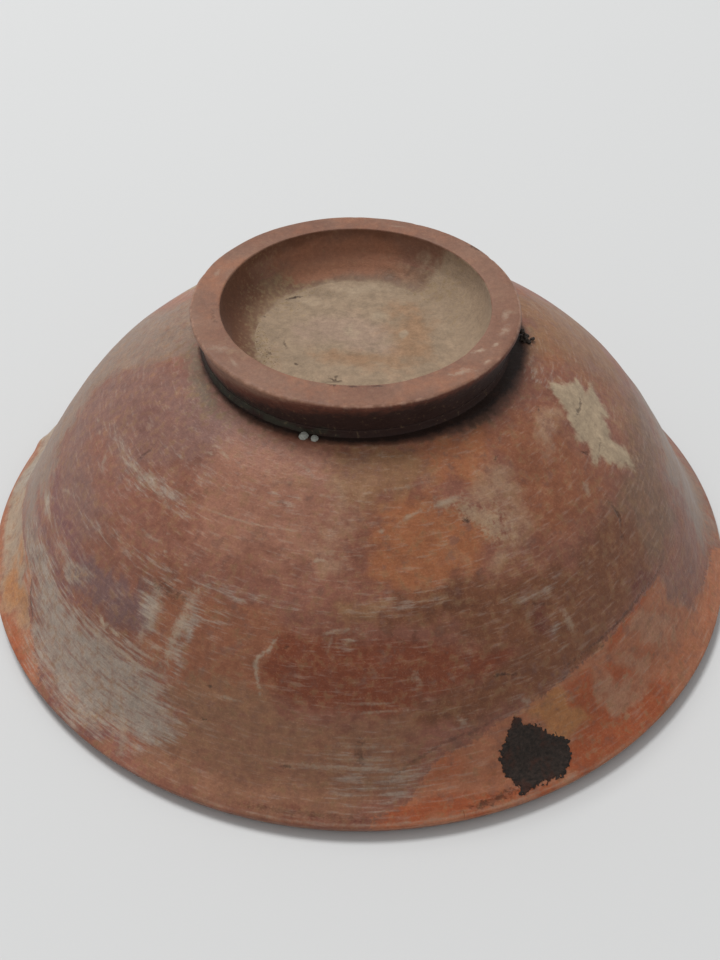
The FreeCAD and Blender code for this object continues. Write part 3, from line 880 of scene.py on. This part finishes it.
def shapeBowl(piece, v, profile, runs):
    points = readPoints(piece)
    normals = readNormals(piece)
    line = np.array(profile)
    radii = np.hypot(points[:, 0], points[:, 1])
    fromLine = (radii[:, None] - line[None, :, 0]) ** 2 + (points[:, 2:3] - line[None, :, 1]) ** 2
    run = runs[np.argmin(fromLine, axis=1)]
    azimuth = np.degrees(np.arctan2(points[:, 1], points[:, 0]))
    radius = (runs[::-1], line[::-1, 0])

    # the throwing leaves faint ridges, the drying a slightly uneven wall
    turn = np.radians(azimuth)
    wallStart, wallEnd = v["outside"]
    outside = (run > wallStart) & (run < wallEnd)
    inside = (run < v["inside"][0]) & (radii > v["inside"][1])
    drift = run + sum(height * np.sin(waves * turn + phase) for waves, phase, height in v["drift"])
    ridges = sum(share * np.sin(drift / length + phase) for length, phase, share in v["ridges"])
    moved = np.where(outside, v["outerRidge"] * ridges, 0) + np.where(inside, v["innerRidge"] * ridges, 0)
    lumps = cloudSum(points, v["lumps"])
    moved += np.where(outside, lumps * np.clip((wallEnd - run) / v["lumpFade"], 0, 1), 0)
    moved += softPatches(azimuth, run, v["knob"], True)
    ragged = cloudSum(points, v["splashClouds"])
    for outline in splashOutlines:
        depth = -wallOutline(azimuth, run, radius, outline)
        moved += v["splashLift"] * np.clip(depth / v["splashEdge"] + ragged, 0, 1)
    recessRadius = np.hypot(points[:, 0] - footCentre, points[:, 1])
    inRecess = run > v["recessStart"]
    flatRadius, flatFade, flatShare = v["recessFlat"]
    unevenness = lumps * flatShare * np.clip((flatRadius - recessRadius) / flatFade, 0, 1)
    moved += np.where(inRecess, unevenness, 0)
    points += normals * moved[:, None]
    points[:, 2] = np.maximum(points[:, 2], 0)
    writePoints(piece, points)

    blur = np.stack([cloudSum(points, v["blurAcross"]), cloudSum(points, v["blurUp"])], 1)
    azimuthSoft = azimuth + blur[:, 0] * v["zoneBlur"][0]
    runSoft = run + blur[:, 1] * v["zoneBlur"][1]
    lowest, highest = v["zoneSpan"]
    for name, (soft, outlines, patches) in bowlZones.items():
        field = softPatches(azimuthSoft, runSoft, patches, True)
        for outline in outlines:
            away = wallOutline(azimuthSoft, runSoft, radius, outline)
            field = np.maximum(field, np.clip(0.5 - away / (2 * soft), 0, 1))
        storeField(piece, name, field * (run > lowest) * (run < highest))
    limit = v["fieldLimit"]
    bare, splash = (-np.minimum.reduce([wallOutline(azimuth, run, radius, outline) for outline in outlines])
                    for outlines in (bareOutlines, splashOutlines))
    storeField(piece, "bare", np.clip(bare, -limit, limit))
    thin = softPatches(azimuth, run, v["splashThin"], True)
    storeField(piece, "splash", np.clip(splash, -limit, v["splashLimit"]) - thin)
    wheel = np.stack([np.cos(turn) * v["wheelRadius"], np.sin(turn) * v["wheelRadius"], run], 1)
    storeField(piece, "wheel", np.where(inRecess[:, None], points, wheel))
    # soot and painted shade on the wall towards the foot ring, with the ring's painted shadow at the front
    # right
    sootAndShade = np.array(sootAndShadeLine)
    start = np.interp(azimuth, sootAndShade[:, 0], sootAndShade[:, 3]) + blur[:, 0] * v["sootAndShadeBlur"]
    storeField(piece, "sootAndShade",
               np.clip((run - start) / (highest - start), 0, 1) * (recessRadius > v["sootAndShadeRadius"]))
    storeField(piece, "recess", np.where(inRecess, v["recessEdge"] - recessRadius, -limit))
    storeStains(piece, recessPatches, points, blur * v["stainBlur"], inRecess)

    def unrollWall(path):
        perDegree = math.radians(1) * np.interp(path[0][1], radius[0], radius[1])
        spots = np.stack([turnBetween(azimuth, path[0][0]) * perDegree, run], 1)
        return spots, np.array([((a - path[0][0]) * perDegree, s) for a, s in path])

    def keepFlat(path):
        return points[:, :2], np.array(path)

    onWall = (run > v["markSpan"][0]) & (run < v["markSpan"][1])
    return {
        "pale": layMarks(piece, "pale", paleMarks, unrollWall, onWall),
        "dark": layMarks(piece, "dark", darkMarks, unrollWall, onWall),
        "pit": layMarks(piece, "pit", recessMarks, keepFlat, inRecess),
    }


bowlMarks = shapeBowl(bowlBody, bowlShape, bowlProfile, bowlRuns)
print("bowl shaped, with layers of marks:", bowlMarks)

noiseRoughness = 0.6


def startPatterns(tree, patterns):
    # noises 0 to 1, each at its real size in mm; "wheel" ones are drawn out along the turning
    place = addNode(tree, "ShaderNodeTexCoord")
    inMm = addNode(tree, "ShaderNodeMapping", {}, {
        "Vector": place.outputs["Object"], "Scale": (1 / mm, 1 / mm, 1 / mm)})
    wheel = addNode(tree, "ShaderNodeAttribute", {"attribute_name": "wheel"})
    made = {}
    for name, (size, detail, stretch, low, high) in patterns.items():
        source = inMm.outputs["Vector"]
        if stretch > 1:
            drawnOut = addNode(tree, "ShaderNodeMapping", {}, {
                "Vector": wheel.outputs["Vector"], "Scale": (1 / stretch, 1 / stretch, 1)})
            source = drawnOut.outputs["Vector"]
        pattern = addNode(tree, "ShaderNodeTexNoise", {}, {
            "Vector": source, "Scale": 1 / size, "Detail": detail, "Roughness": noiseRoughness})
        spread = addNode(tree, "ShaderNodeMapRange", {}, {
            "Value": pattern.outputs["Fac"], "From Min": low, "From Max": high})
        made[name] = spread.outputs["Result"]
    return made


def spreadTones(tree, patterns, rows, covers):
    # layers of colour. Each row: hex, field, pattern that breaks its edge up and by how much,
    # where it starts and is full, how much it covers, and the earlier layer that it stays within
    layers = []
    for hexColour, field, pattern, spread, low, high, strength, within in rows:
        laid = addNode(tree, "ShaderNodeAttribute", {"attribute_name": field})
        broken = addNode(tree, "ShaderNodeMath", {"operation": "MULTIPLY_ADD"}, {
            0: patterns[pattern], 1: spread, 2: laid.outputs["Fac"]})
        cover = addNode(tree, "ShaderNodeMapRange", {"interpolation_type": "SMOOTHSTEP"}, {
            "Value": broken.outputs["Value"], "From Min": low + spread / 2, "From Max": high + spread / 2,
            "To Max": strength}).outputs["Result"]
        if within:
            cover = addNode(tree, "ShaderNodeMath", {"operation": "MULTIPLY"}, {
                0: cover, 1: covers[within]}).outputs["Value"]
        covers[field] = cover
        layers.append((cover, hexColour))
    return layers


def gatherMarks(tree, name, layers, patterns):
    # one cover from all the layers of thin marks, each mark ragged and fading to its ends
    gathered = None
    start, full = markValues["edge"]
    for i in range(layers):
        mark = addNode(tree, "ShaderNodeAttribute", {"attribute_name": name + str(i)})
        parts = addNode(tree, "ShaderNodeSeparateXYZ", {}, {"Vector": mark.outputs["Vector"]})
        flat = addNode(tree, "ShaderNodeCombineXYZ", {}, {"X": parts.outputs["X"], "Y": parts.outputs["Y"]})
        away = addNode(tree, "ShaderNodeVectorMath", {"operation": "LENGTH"}, {0: flat.outputs["Vector"]})
        ragged = addNode(tree, "ShaderNodeMath", {"operation": "MULTIPLY_ADD"}, {
            0: patterns["fine"], 1: markValues["ragged"], 2: away.outputs["Value"]})
        inside = addNode(tree, "ShaderNodeMapRange", {"interpolation_type": "SMOOTHSTEP"}, {
            "Value": ragged.outputs["Value"], "From Min": start, "From Max": full})
        cover = addNode(tree, "ShaderNodeMath", {"operation": "MULTIPLY"}, {
            0: inside.outputs["Result"], 1: parts.outputs["Z"]}).outputs["Value"]
        if gathered:
            cover = addNode(tree, "ShaderNodeMath", {"operation": "MAXIMUM"}, {
                0: gathered, 1: cover}).outputs["Value"]
        gathered = cover
    return gathered


# the patterns of all the clay: size in mm, detail, drawn out, low, high
clayPatterns = {
    "cloud": (20, 3, 1, 0.34, 0.66), "mottle": (6.5, 4, 1, 0.34, 0.66), "daub": (3.6, 4, 1, 0.34, 0.66),
    "fleck": (2.3, 3, 1, 0.34, 0.66), "fine": (1.2, 3, 1, 0.32, 0.68), "grain": (0.5, 2, 1, 0.3, 0.7),
    "streak": (0.9, 4, 3, 0.34, 0.66),
}

# Terra sigillata: a thin coat of fine red slip, burnished, on orange earthenware. It gives a satin skin,
# clouded from red to brown by the kiln, and dull orange clay where the coat is gone.
coatValues = {
    "ground": "8c5a49",
    "clouds": "7c4d3a",
    "tones": (
        ("976854", "rosy", "mottle", 0.5, 0.15, 0.9, 0.9, None),
        ("7d5a50", "mauve", "mottle", 0.5, 0.15, 0.9, 0.9, None),
        ("875848", "russet", "daub", 0.6, 0.15, 0.9, 0.85, None),
        ("8b573e", "brown", "mottle", 0.5, 0.15, 0.9, 0.9, None),
        ("9b603d", "orange", "mottle", 0.6, 0.15, 0.9, 0.9, None),
        ("866042", "tawny", "mottle", 0.7, 0.15, 0.9, 0.9, None),
        ("875238", "chestnut", "mottle", 0.5, 0.15, 0.9, 0.9, None),
        ("9a7a62", "dusty", "mottle", 0.6, 0.15, 0.9, 0.85, None),
        ("745641", "dun", "mottle", 0.6, 0.15, 0.9, 0.85, None),
        ("8a644a", "olive", "daub", 0.9, 0.3, 1.1, 0.8, None),
        ("7b3f27", "brick", "daub", 0.5, 0.15, 0.9, 0.92, None),
        ("74482f", "smoke", "daub", 0.6, 0.15, 0.9, 0.9, None),
        ("573627", "dark", "daub", 0.7, 0.25, 1.1, 0.8, None),
        ("66342a", "maroon", "fleck", 0.7, 0.25, 1.0, 0.8, None),
        ("744a49", "wine", "daub", 0.7, 0.2, 1.0, 0.75, None),
        ("6c5352", "violet", "daub", 0.7, 0.2, 1.0, 0.8, None),
        ("8d634a", "umber", "daub", 0.8, 0.2, 1.0, 0.8, None),
        ("a3694d", "bare", "fine", 1.6, -0.5, 0.5, 1.0, None),
        ("a08c77", "sand", "mottle", 0.6, 0.15, 0.9, 0.95, "bare"),
        ("a77145", "ochre", "mottle", 0.5, 0.15, 0.9, 0.9, "bare"),
        ("9c4f2e", "ember", "fleck", 0.6, 0.15, 0.9, 0.9, "bare"),
        ("a67b62", "rose", "fleck", 0.8, 0.15, 1.0, 0.7, "bare"),
        ("866458", "dusk", "daub", 0.6, 0.15, 0.9, 0.9, "bare"),
        ("9c9083", "veil", "streak", 0.8, 0.1, 1.1, 0.88, None),
        # dust and painted sheen on both flanks
        ("857364", "flankDustAndSheen", "daub", 0.7, 0.15, 1.0, 0.85, None),
        ("9f856c", "chalk", "fine", 0.8, 0.2, 1.0, 0.85, None),
        ("6e6253", "soil", "fleck", 0.6, 0.15, 0.9, 0.85, None),
    ),
    "overTones": (
        # soot with painted shade, and the foot ring's painted shadow, on the wall under the ring
        ("4a3025", "sootAndShade", "fleck", 0.3, 0.0, 0.6, 0.9, None),
        ("241712", "sootAndShade", "fleck", 0.3, 0.5, 1.0, 0.95, None),
        ("8f7b66", "recess", "mottle", 1.0, 0.0, 3.0, 1.0, None),
        ("947d6c", "flesh", "mottle", 0.7, 0.1, 1.0, 0.85, "recess"),
        ("8c6d53", "tan", "mottle", 0.7, 0.1, 1.0, 0.85, "recess"),
        ("96846f", "filmPale", "mottle", 0.6, 0.2, 0.8, 0.8, "recess"),
        ("7e6a4e", "grime", "fine", 1.2, 0.3, 1.0, 0.7, "recess"),
        ("4d3927", "grime", "grain", 1.6, 0.75, 1.2, 0.75, "recess"),
        ("a08e76", "splash", "fleck", 1.4, -1.9, 0.6, 0.92, None),
    ),
    # hex, pattern, where it starts and would be full, and its strength
    "mottles": (("8f6d4b", "fleck", 0.5, 1.1, 0.46), ("6e4639", "daub", 0.45, 1.1, 0.45),
                ("a08370", "streak", 0.6, 1.1, 0.14), ("55372a", "fine", 0.72, 1.1, 0.3),
                ("a5846c", "grain", 0.8, 1.1, 0.3)),
    "marks": (("pale", "a18d79"), ("dark", "38261d")),
    "shades": (("grain", 0.07), ("fine", 0.09), ("streak", 0.045), ("fleck", 0.1), ("daub", 0.05),
               ("mottle", 0.09)),
    "roughness": (0.44, 0.58),
    "dulled": (("bare", 0.72), ("veil", 0.68), ("chalk", 0.8), ("soil", 0.85), ("recess", 0.85),
               ("splash", 0.85)),
    # how far each stands out, in mm
    "relief": (("grain", 0.02), ("fine", 0.03), ("streak", 0.02), ("mottle", 0.06), ("splash", 0.06),
               ("pale", 0.03), ("dark", -0.3), ("bare", -0.08)),
    "looks": {"IOR": 1.5, "Specular IOR Level": 0.25, "Sheen Weight": 0.08, "Sheen Roughness": 0.4},
}


def makeClay(name, v, markCounts):
    material, tree = startMaterial(name)
    patterns = startPatterns(tree, clayPatterns)
    covers = {}
    layers = [(patterns["cloud"], v["clouds"])]
    layers += spreadTones(tree, patterns, v["tones"], covers)
    for hexColour, pattern, low, high, strength in v["mottles"]:
        cover = addNode(tree, "ShaderNodeMapRange", {}, {
            "Value": patterns[pattern], "From Min": low, "From Max": high, "To Max": strength})
        layers.append((cover.outputs["Result"], hexColour))
    layers += spreadTones(tree, patterns, v["overTones"], covers)
    for kind, count in markCounts.items():
        covers[kind] = gatherMarks(tree, kind, count, patterns)
    if covers.get("pit"):
        covers["dark"] = addNode(tree, "ShaderNodeMath", {"operation": "MAXIMUM"}, {
            0: covers["dark"], 1: covers["pit"]}).outputs["Value"]
    layers += [(covers[kind], hexColour) for kind, hexColour in v["marks"] if kind in markCounts]
    colour = layColours(tree, linearColour(v["ground"]), layers)
    # the light and dark of fine grain and wheel lines
    for pattern, share in v["shades"]:
        shade = addNode(tree, "ShaderNodeMapRange", {}, {
            "Value": patterns[pattern], "To Min": 1 - share, "To Max": 1 + share})
        colour = addNode(tree, "ShaderNodeVectorMath", {"operation": "SCALE"}, {
            0: colour, "Scale": shade.outputs["Result"]}).outputs["Vector"]

    smooth, rough = v["roughness"]
    roughness = addNode(tree, "ShaderNodeMapRange", {}, {
        "Value": patterns["mottle"], "To Min": smooth, "To Max": rough}).outputs["Result"]
    for field, level in v["dulled"]:
        roughness = addNode(tree, "ShaderNodeMix", {"data_type": "FLOAT"}, {
            0: covers[field], 2: roughness, 3: level}).outputs[0]

    height = 0.0
    for source, amount in v["relief"]:
        socket = patterns.get(source) or covers.get(source)
        if socket:
            height = addNode(tree, "ShaderNodeMath", {"operation": "MULTIPLY_ADD"}, {
                0: socket, 1: amount, 2: height}).outputs["Value"]
    finishMaterial(tree, colour, roughness, height, 1, v["looks"])
    return material


bowlBody.data.materials.append(makeClay("burnishedRedSlip", coatValues, bowlMarks))
print("bowl coated")

# What lies on the foot ring and the slip: azimuth, height over the slip's top edge, half size of each
# and strength. Inside, the height runs on down over the fillet.
footPatches = {
    "outer": {
        "redEdge": (
            (-104, 8.6, 20, 3, 0.7), (-50, 8.8, 26, 2, 0.4), (-150, 6, 20, 3, 0.3),
            (100, 6, 50, 2.6, 0.5),
        ),
        "moss": ((-142, -1.2, 34, 1.6, 0.9), (-108, -1.6, 12, 1.2, 0.5), (60, -1.6, 60, 1.4, 0.6)),
    },
    "inner": {
        "film": (
            (16, 3, 38, 9, 1.5), (-50, 3, 50, 9, 1.3), (-112, 3, 34, 9, 1.1), (0, -9, 400, 3.6, 1.3),
        ),
        "redEdge": ((84, 0.5, 24, 5, 1.0), (118, -0.5, 20, 5, 0.9), (100, 6, 40, 3, 0.6)),
        "umber": ((164, 3.5, 26, 6.5, 1.1), (110, 9, 60, 2.4, 0.7), (-168, 3, 16, 6, 0.9)),
    },
    "face": {
        "film": ((2, 9, 26, 1.6, 0.35), (-146, 9, 12, 1.6, 0.3)),
        "redEdge": (
            (-112, 10, 22, 3, 0.45), (-56, 10, 20, 3, 0.6), (168, 10, 24, 3, 0.8), (80, 10, 40, 3, 0.4),
        ),
    },
}
# half width, strength, path in x and y
footMarks = {
    "pale": (
        (0.6, 0.8, ((29.4, -21.2), (30.8, -20.6))),
        (0.9, 0.6, ((24.6, -30.2), (26.2, -29.2), (27.4, -29))), (0.6, 0.7, ((31.4, -26), (32.2, -25.2))),
        (0.5, 0.6, ((34.4, -18.4), (35, -17.6))), (1.0, 0.5, ((36.6, -13.4), (38, -11))),
        (0.8, 0.45, ((37.6, -7), (38.6, -3.4))), (1.4, 0.35, ((-37.5, -20.6), (-34.5, -21.6))),
        (0.4, 0.4, ((22, -31), (22.8, -30.8))), (0.5, 0.35, ((-33, -25), (-31, -28.4))),
        (0.4, 0.3, ((8, 39), (12, 38.4))), (0.6, 0.35, ((-40, 12), (-39.2, 15))),
    ),
    "dark": (
        (0.45, 0.8, ((-7.6, -35.2), (-6.6, -35.6), (-6, -35))), (0.35, 0.6, ((-3.4, -36), (-1.2, -36.2))),
        (0.35, 0.5, ((3, -36), (5, -35.8))), (0.6, 0.6, ((31, 28.4), (33, 26.4))),
        (0.5, 0.35, ((-39, -6), (-38.4, -9))),
    ),
}

footShape = {
    "faceDepth": (0.5, 0.4),  # the worn face starts this far under the top, and is full over this length
    "innerSide": 2,  # what lies this far past the face's inner edge still counts as inside
    "free": (0.6, 2),  # the slip holds the ring's form up to this height, and lets it go over this length
    "lumps": ((14, 6, 0.12), (4, 7, 0.03)),
    "chips": ((3.2, 8, 1),),  # size, seed and height, as for the lumps
    "chipStart": 0.4,
    "chipDepth": 0.3,
    "edgeDepth": 0.6,  # chips gather this far under the top
    "faceLimit": 0.02,  # nothing stands out further from the worn face
    "openingFade": 2.5,
    "blurAcross": ((12, 9, 1),),
    "blurUp": ((6, 10, 1),),
    "patchBlur": (5, 0.7),  # noise moves the patches' edges this far: degrees, mm
    "stainBlur": 2,
    "fillet": 0.6,  # height counts this much in the way down the inner side
    "wornHighlightEdge": (0.5, 0.4, 0.55),  # in from the outer edge, down from the top, half width
    "wornHighlightShares": (0.75, 0.25),  # steady and varied share of that wear and painted highlight
    "wheelRadius": 40,
}


def shapeFoot(piece, v, isSlip):
    points = readPoints(piece)
    normals = readNormals(piece)
    away = points[:, :2] - np.array((footCentre, 0))
    radii = np.hypot(away[:, 0], away[:, 1])
    azimuth = np.degrees(np.arctan2(away[:, 1], away[:, 0]))
    rise = points[:, 2] - slipTop
    innerEdge = footRadius - footValues["faceWidth"]
    faceDepth, faceFade = v["faceDepth"]
    face = np.clip((points[:, 2] - (footTop - faceDepth)) / faceFade, 0, 1)
    outer = (radii > innerEdge + v["innerSide"]) * (1 - face)
    inner = (radii <= innerEdge + v["innerSide"]) * (1 - face)

    # turned by hand: the edges are worn and a little uneven, the opening off the middle
    held, letGo = v["free"]
    free = np.clip((rise - held) / letGo, 0, 1)
    if not isSlip:
        rounds = np.clip(1 - np.abs(points[:, 2] - (footTop - v["edgeDepth"])), 0, 1)
        chips = np.clip(cloudSum(points, v["chips"]) - v["chipStart"], 0, 1) * rounds * v["chipDepth"]
        moved = cloudSum(points, v["lumps"]) * free - chips
        moved = np.where(face > 0.5, np.minimum(moved, v["faceLimit"]), moved)
        points += normals * moved[:, None]
    fade = v["openingFade"]
    points[:, 1] += footValues["openingShift"] * free * np.clip((innerEdge + fade - radii) / fade, 0, 1)
    writePoints(piece, points)

    blur = np.stack([cloudSum(points, v["blurAcross"]), cloudSum(points, v["blurUp"])], 1)
    azimuthSoft = azimuth + blur[:, 0] * v["patchBlur"][0]
    riseSoft = rise + blur[:, 1] * v["patchBlur"][1]
    fields = {}
    # inside, the way down runs on from the wall over the fillet
    wayDown = riseSoft * v["fillet"] + radii - innerEdge + footValues["taper"]
    sides = {"outer": (outer, riseSoft), "inner": (inner, wayDown), "face": (face, riseSoft)}
    for side, (share, way) in sides.items():
        for name, rows in footPatches[side].items():
            fields[name] = fields.get(name, 0) + share * softPatches(azimuthSoft, way, rows, True)
    # soot and painted shade on the ring's outside
    sootAndShade = np.array(sootAndShadeLine)
    full, none = np.interp(azimuth, sootAndShade[:, 0], sootAndShade[:, 1]), np.interp(azimuth, sootAndShade[:, 0], sootAndShade[:, 2])
    fields["sootAndShade"] = outer * np.clip((none - rise) / (none - full), 0, 1)
    # the outer edge is rubbed pale, with a painted highlight along it
    wornHighlightIn, wornHighlightDown, wornHighlightWidth = v["wornHighlightEdge"]
    edge = np.hypot(radii - footRadius + wornHighlightIn, points[:, 2] - footTop + wornHighlightDown)
    steady, varied = v["wornHighlightShares"]
    fields["wornAndHighlight"] = np.exp(-(edge / wornHighlightWidth) ** 2) * (steady + varied * blur[:, 0])
    for name, values in fields.items():
        storeField(piece, name, values)
    storeStains(piece, ("grime",), points, blur * v["stainBlur"], inner)
    turn = np.radians(azimuth)
    storeField(piece, "wheel", np.stack([
        np.cos(turn) * v["wheelRadius"], np.sin(turn) * v["wheelRadius"], rise + radii], 1))
    return {name: layMarks(piece, name, marks, lambda path: (points[:, :2], np.array(path)), face)
            for name, marks in footMarks.items()}


# Earthenware turned leather-hard: brown-pink and dull, pale where handled, with a painted highlight along
# the outer edge, sooty and painted in shade under its edge.
footClayValues = {
    "ground": "83614f",
    "clouds": "765140",
    "tones": (
        ("8f6048", "redEdge", "mottle", 0.5, 0.2, 0.9, 0.8, None),
        ("64412f", "umber", "mottle", 0.5, 0.15, 0.9, 0.85, None),
        # soot with painted shade on the ring's outer side
        ("5c3022", "sootAndShade", "fleck", 0.25, 0.0, 0.55, 0.95, None),
        ("2c1812", "sootAndShade", "fleck", 0.25, 0.4, 0.95, 0.97, None),
        ("343226", "moss", "fleck", 0.5, 0.2, 0.9, 0.85, None),
        ("8f7b66", "film", "mottle", 0.6, 0.32, 0.95, 0.95, None),
        ("7e6a4e", "grime", "fine", 1.2, 0.3, 1.0, 0.6, None),
        # pale wear along the outer edge, partly a painted highlight
        ("a5826f", "wornAndHighlight", "fleck", 0.5, 0.3, 1.0, 0.6, None),
    ),
    "overTones": (),
    "mottles": (),
    "marks": (("pale", "a8937f"), ("dark", "2b1d16")),
    "shades": (("grain", 0.07), ("fine", 0.09), ("streak", 0.02), ("fleck", 0.05), ("mottle", 0.06)),
    "roughness": (0.52, 0.68),
    "dulled": (("film", 0.85),),
    "relief": (("grain", 0.02), ("fine", 0.03), ("mottle", 0.06), ("streak", 0.02), ("dark", -0.3)),
    "looks": {"IOR": 1.5, "Specular IOR Level": 0.25, "Sheen Weight": 0.06, "Sheen Roughness": 0.4},
}
# the same clay wiped on wet, a little greyer
slipClayValues = {**footClayValues, "ground": "7a604a", "clouds": "6a4c39"}

footMarkCounts = shapeFoot(footRing, footShape, False)
footRing.data.materials.append(makeClay("turnedEarthenware", footClayValues, footMarkCounts))
shapeFoot(lutingSlip, footShape, True)
lutingSlip.data.materials.append(makeClay("wipedClaySlip", slipClayValues, {}))
print("foot ring and slip finished")

# Burnt residue: a flat crust of char near the rim, its edge ragged.
crustValues = {
    "turn": -64.1,
    "run": 14.7,
    "grid": 130,
    "size": 26.0,
    "outline": ((-66.1, 27), (-67.3, 24), (-68, 21.2), (-69, 19.4), (-69.1, 17), (-69, 14), (-68.3, 11.5),
                (-67.5, 9.4), (-67.7, 7.5), (-66.6, 7.2), (-65.5, 8), (-64, 7.9), (-62.4, 7.6),
                (-60.6, 8.2), (-59.4, 10.6), (-58.6, 12.6), (-58.4, 14.4), (-59.4, 16.4), (-60.6, 18),
                (-62, 20.4), (-63, 22.6), (-64.8, 24.4)),
    "probe": 0.5,
    "edgeOut": 0.35,
    "edgeClouds": ((1.4, 11, 0.7), (0.6, 12, 0.45)),
    "thickness": 0.45,
    "edgeWidth": 0.8,  # it gets its thickness over this length
    "evenShare": 0.7,  # of that thickness, with clouds on top
    "uneven": ((1.6, 13, 0.35),),
    "crumbs": ((0.6, 14, 0.10),),
    "crumbStart": 0.2,
    "tuck": 0.1,  # its edge dips this far into the wall,
    "cutOut": 0.1,  # and is cut off this far out
    "depth": 0.5,
}


def makeCrust(v, profile, runs):
    deselectAll()
    bpy.ops.mesh.primitive_grid_add(x_subdivisions=v["grid"], y_subdivisions=v["grid"], size=v["size"] * mm)
    piece = bpy.context.object
    piece.name = "burntCrust"
    flat = readPoints(piece)
    line = np.array(profile)

    def onLine(way):
        return np.stack([np.interp(way, runs[::-1], line[::-1, i]) for i in (0, 1)], -1)

    run = v["run"] + flat[:, 1]
    along = onLine(run + v["probe"]) - onLine(run - v["probe"])
    along /= np.linalg.norm(along, axis=1)[:, None]
    turn = np.radians(v["turn"]) + flat[:, 0] / onLine(v["run"])[0]
    edge = -wallOutline(np.degrees(turn), run, (runs[::-1], line[::-1, 0]), v["outline"])
    solid = np.stack([flat[:, 0], flat[:, 1], np.zeros(len(flat))], 1)
    edge += v["edgeOut"] + cloudSum(solid, v["edgeClouds"])
    lift = v["thickness"] * np.clip(edge / v["edgeWidth"], 0, 1) ** 0.5
    lift *= v["evenShare"] + cloudSum(solid, v["uneven"])
    lift += cloudSum(solid, v["crumbs"]) * (edge > v["crumbStart"]) - v["tuck"] * (edge <= 0)
    radius = onLine(run)[:, 0] + along[:, 1] * lift
    height = onLine(run)[:, 1] - along[:, 0] * lift
    writePoints(piece, np.stack([radius * np.cos(turn), radius * np.sin(turn), height], 1))
    selectPoints(piece, edge < -v["cutOut"])
    bpy.ops.mesh.delete(type="VERT")
    bpy.ops.mesh.select_all(action="SELECT")
    bpy.ops.mesh.normals_make_consistent(inside=False)
    bpy.ops.object.mode_set(mode="OBJECT")
    thick = piece.modifiers.new("thick", "SOLIDIFY")
    thick.thickness = v["depth"] * mm
    thick.offset = -1
    bpy.ops.object.modifier_apply(modifier="thick")
    bpy.ops.object.shade_smooth()
    return piece


burntCrust = makeCrust(crustValues, bowlProfile, bowlRuns)
print("crust laid:", len(burntCrust.data.vertices), "points")


def makeGrit(v):
    material, tree = startMaterial(v["name"])
    patterns = startPatterns(tree, v["patterns"])
    layers = [(patterns["crumb"], v["bright"])]
    if "thinColour" in v:
        start, strength = v["thinCover"]
        cover = addNode(tree, "ShaderNodeMapRange", {}, {
            "Value": patterns["cloud"], "From Min": start, "To Max": strength})
        layers.append((cover.outputs["Result"], v["thinColour"]))
    colour = layColours(tree, linearColour(v["dull"]), layers)
    finishMaterial(tree, colour, v["roughness"], patterns["crumb"], v["depth"], v["looks"])
    return material


# char: black, dry and crumbly, brown where it is thin
burntCrust.data.materials.append(makeGrit({
    "name": "charredCrust", "patterns": {"crumb": (0.9, 5, 1, 0.3, 0.7), "cloud": (5, 4, 1, 0.35, 0.65)},
    "dull": "24201d", "bright": "40342e", "thinColour": "4a2c22", "thinCover": (0.6, 0.6),
    "roughness": 0.9, "depth": 0.15, "looks": {"Specular IOR Level": 0.3}}))

# Two drops of lime in the angle under the foot ring, and a crumb of soil caught at its side.
dropValues = {
    # radius, distance from the bowl's axis, height, azimuth
    "beads": ((1.25, 44.0, 72.05, -108.6), (1.0, 44.05, 72.0, -104.8)),
    "grains": ((1.1, 44.4, 72.4, -0.6), (0.9, 44.9, 72.5, 0.9), (0.7, 43.9, 73.6, 1.9),
               (0.6, 45.7, 72.0, -1.6), (0.5, 46.6, 71.9, 0.4), (0.4, 47.2, 71.7, 1.2),
               (0.5, 43.6, 74.2, 0.8)),
    # size of the lumps in mm, then their height and the drop's own as shares of its radius
    "beadSkin": (1.2, 0.10, 0.8),
    "grainSkin": (0.7, 0.28, 0.9),
    "finer": (2.5, 0.5),  # the finer lumps: this much smaller and lower
    "seeds": (20, 30),
    "subdivisions": 5,
}


def makeDrops(name, v, drops, skin):
    roughSize, roughAmount, flatten = skin
    finer, lower = v["finer"]
    made = []
    for i, (radius, out, height, turn) in enumerate(drops):
        deselectAll()
        angle = math.radians(turn)
        bpy.ops.mesh.primitive_ico_sphere_add(
            subdivisions=v["subdivisions"], radius=radius * mm,
            location=(out * math.cos(angle) * mm, out * math.sin(angle) * mm, height * mm))
        drop = bpy.context.object
        drop.scale = (1, 1, flatten)
        bpy.ops.object.transform_apply(location=True, rotation=True, scale=True)
        points = readPoints(drop)
        normals = readNormals(drop)
        clouds = ((roughSize, v["seeds"][0] + i, 1), (roughSize / finer, v["seeds"][1] + i, lower))
        points += normals * (cloudSum(points, clouds) * roughAmount * radius)[:, None]
        writePoints(drop, points)
        made.append(drop)
    deselectAll()
    for drop in made:
        drop.select_set(True)
    bpy.context.view_layer.objects.active = made[0]
    bpy.ops.object.join()
    piece = bpy.context.object
    piece.name = name
    bpy.ops.object.transform_apply(location=True, rotation=True, scale=True)
    bpy.ops.object.shade_smooth()
    return piece


limeBeads = makeDrops("limeBeads", dropValues, dropValues["beads"], dropValues["beadSkin"])
soilCrumb = makeDrops("soilCrumb", dropValues, dropValues["grains"], dropValues["grainSkin"])
# lime dries to a dull grey-white, mud to a rough dark brown
for piece, name, dull, bright in ((limeBeads, "limeDrop", "878880", "adafa6"),
                                  (soilCrumb, "dryMud", "1f1813", "3c2f25")):
    piece.data.materials.append(makeGrit({
        "name": name, "patterns": {"crumb": (0.5, 4, 1, 0.3, 0.7)}, "dull": dull, "bright": bright,
        "roughness": 0.85, "depth": 0.06, "looks": {}}))
print("beads and crumb placed")

fitPiece(bowlBody, "bowl_body")
fitPiece(footRing, "foot_ring")
fitPiece(lutingSlip, "luting_slip")
fitPiece(burntCrust, "burnt_crust")
fitPiece(limeBeads, "lime_beads")
fitPiece(soilCrumb, "soil_crumb")
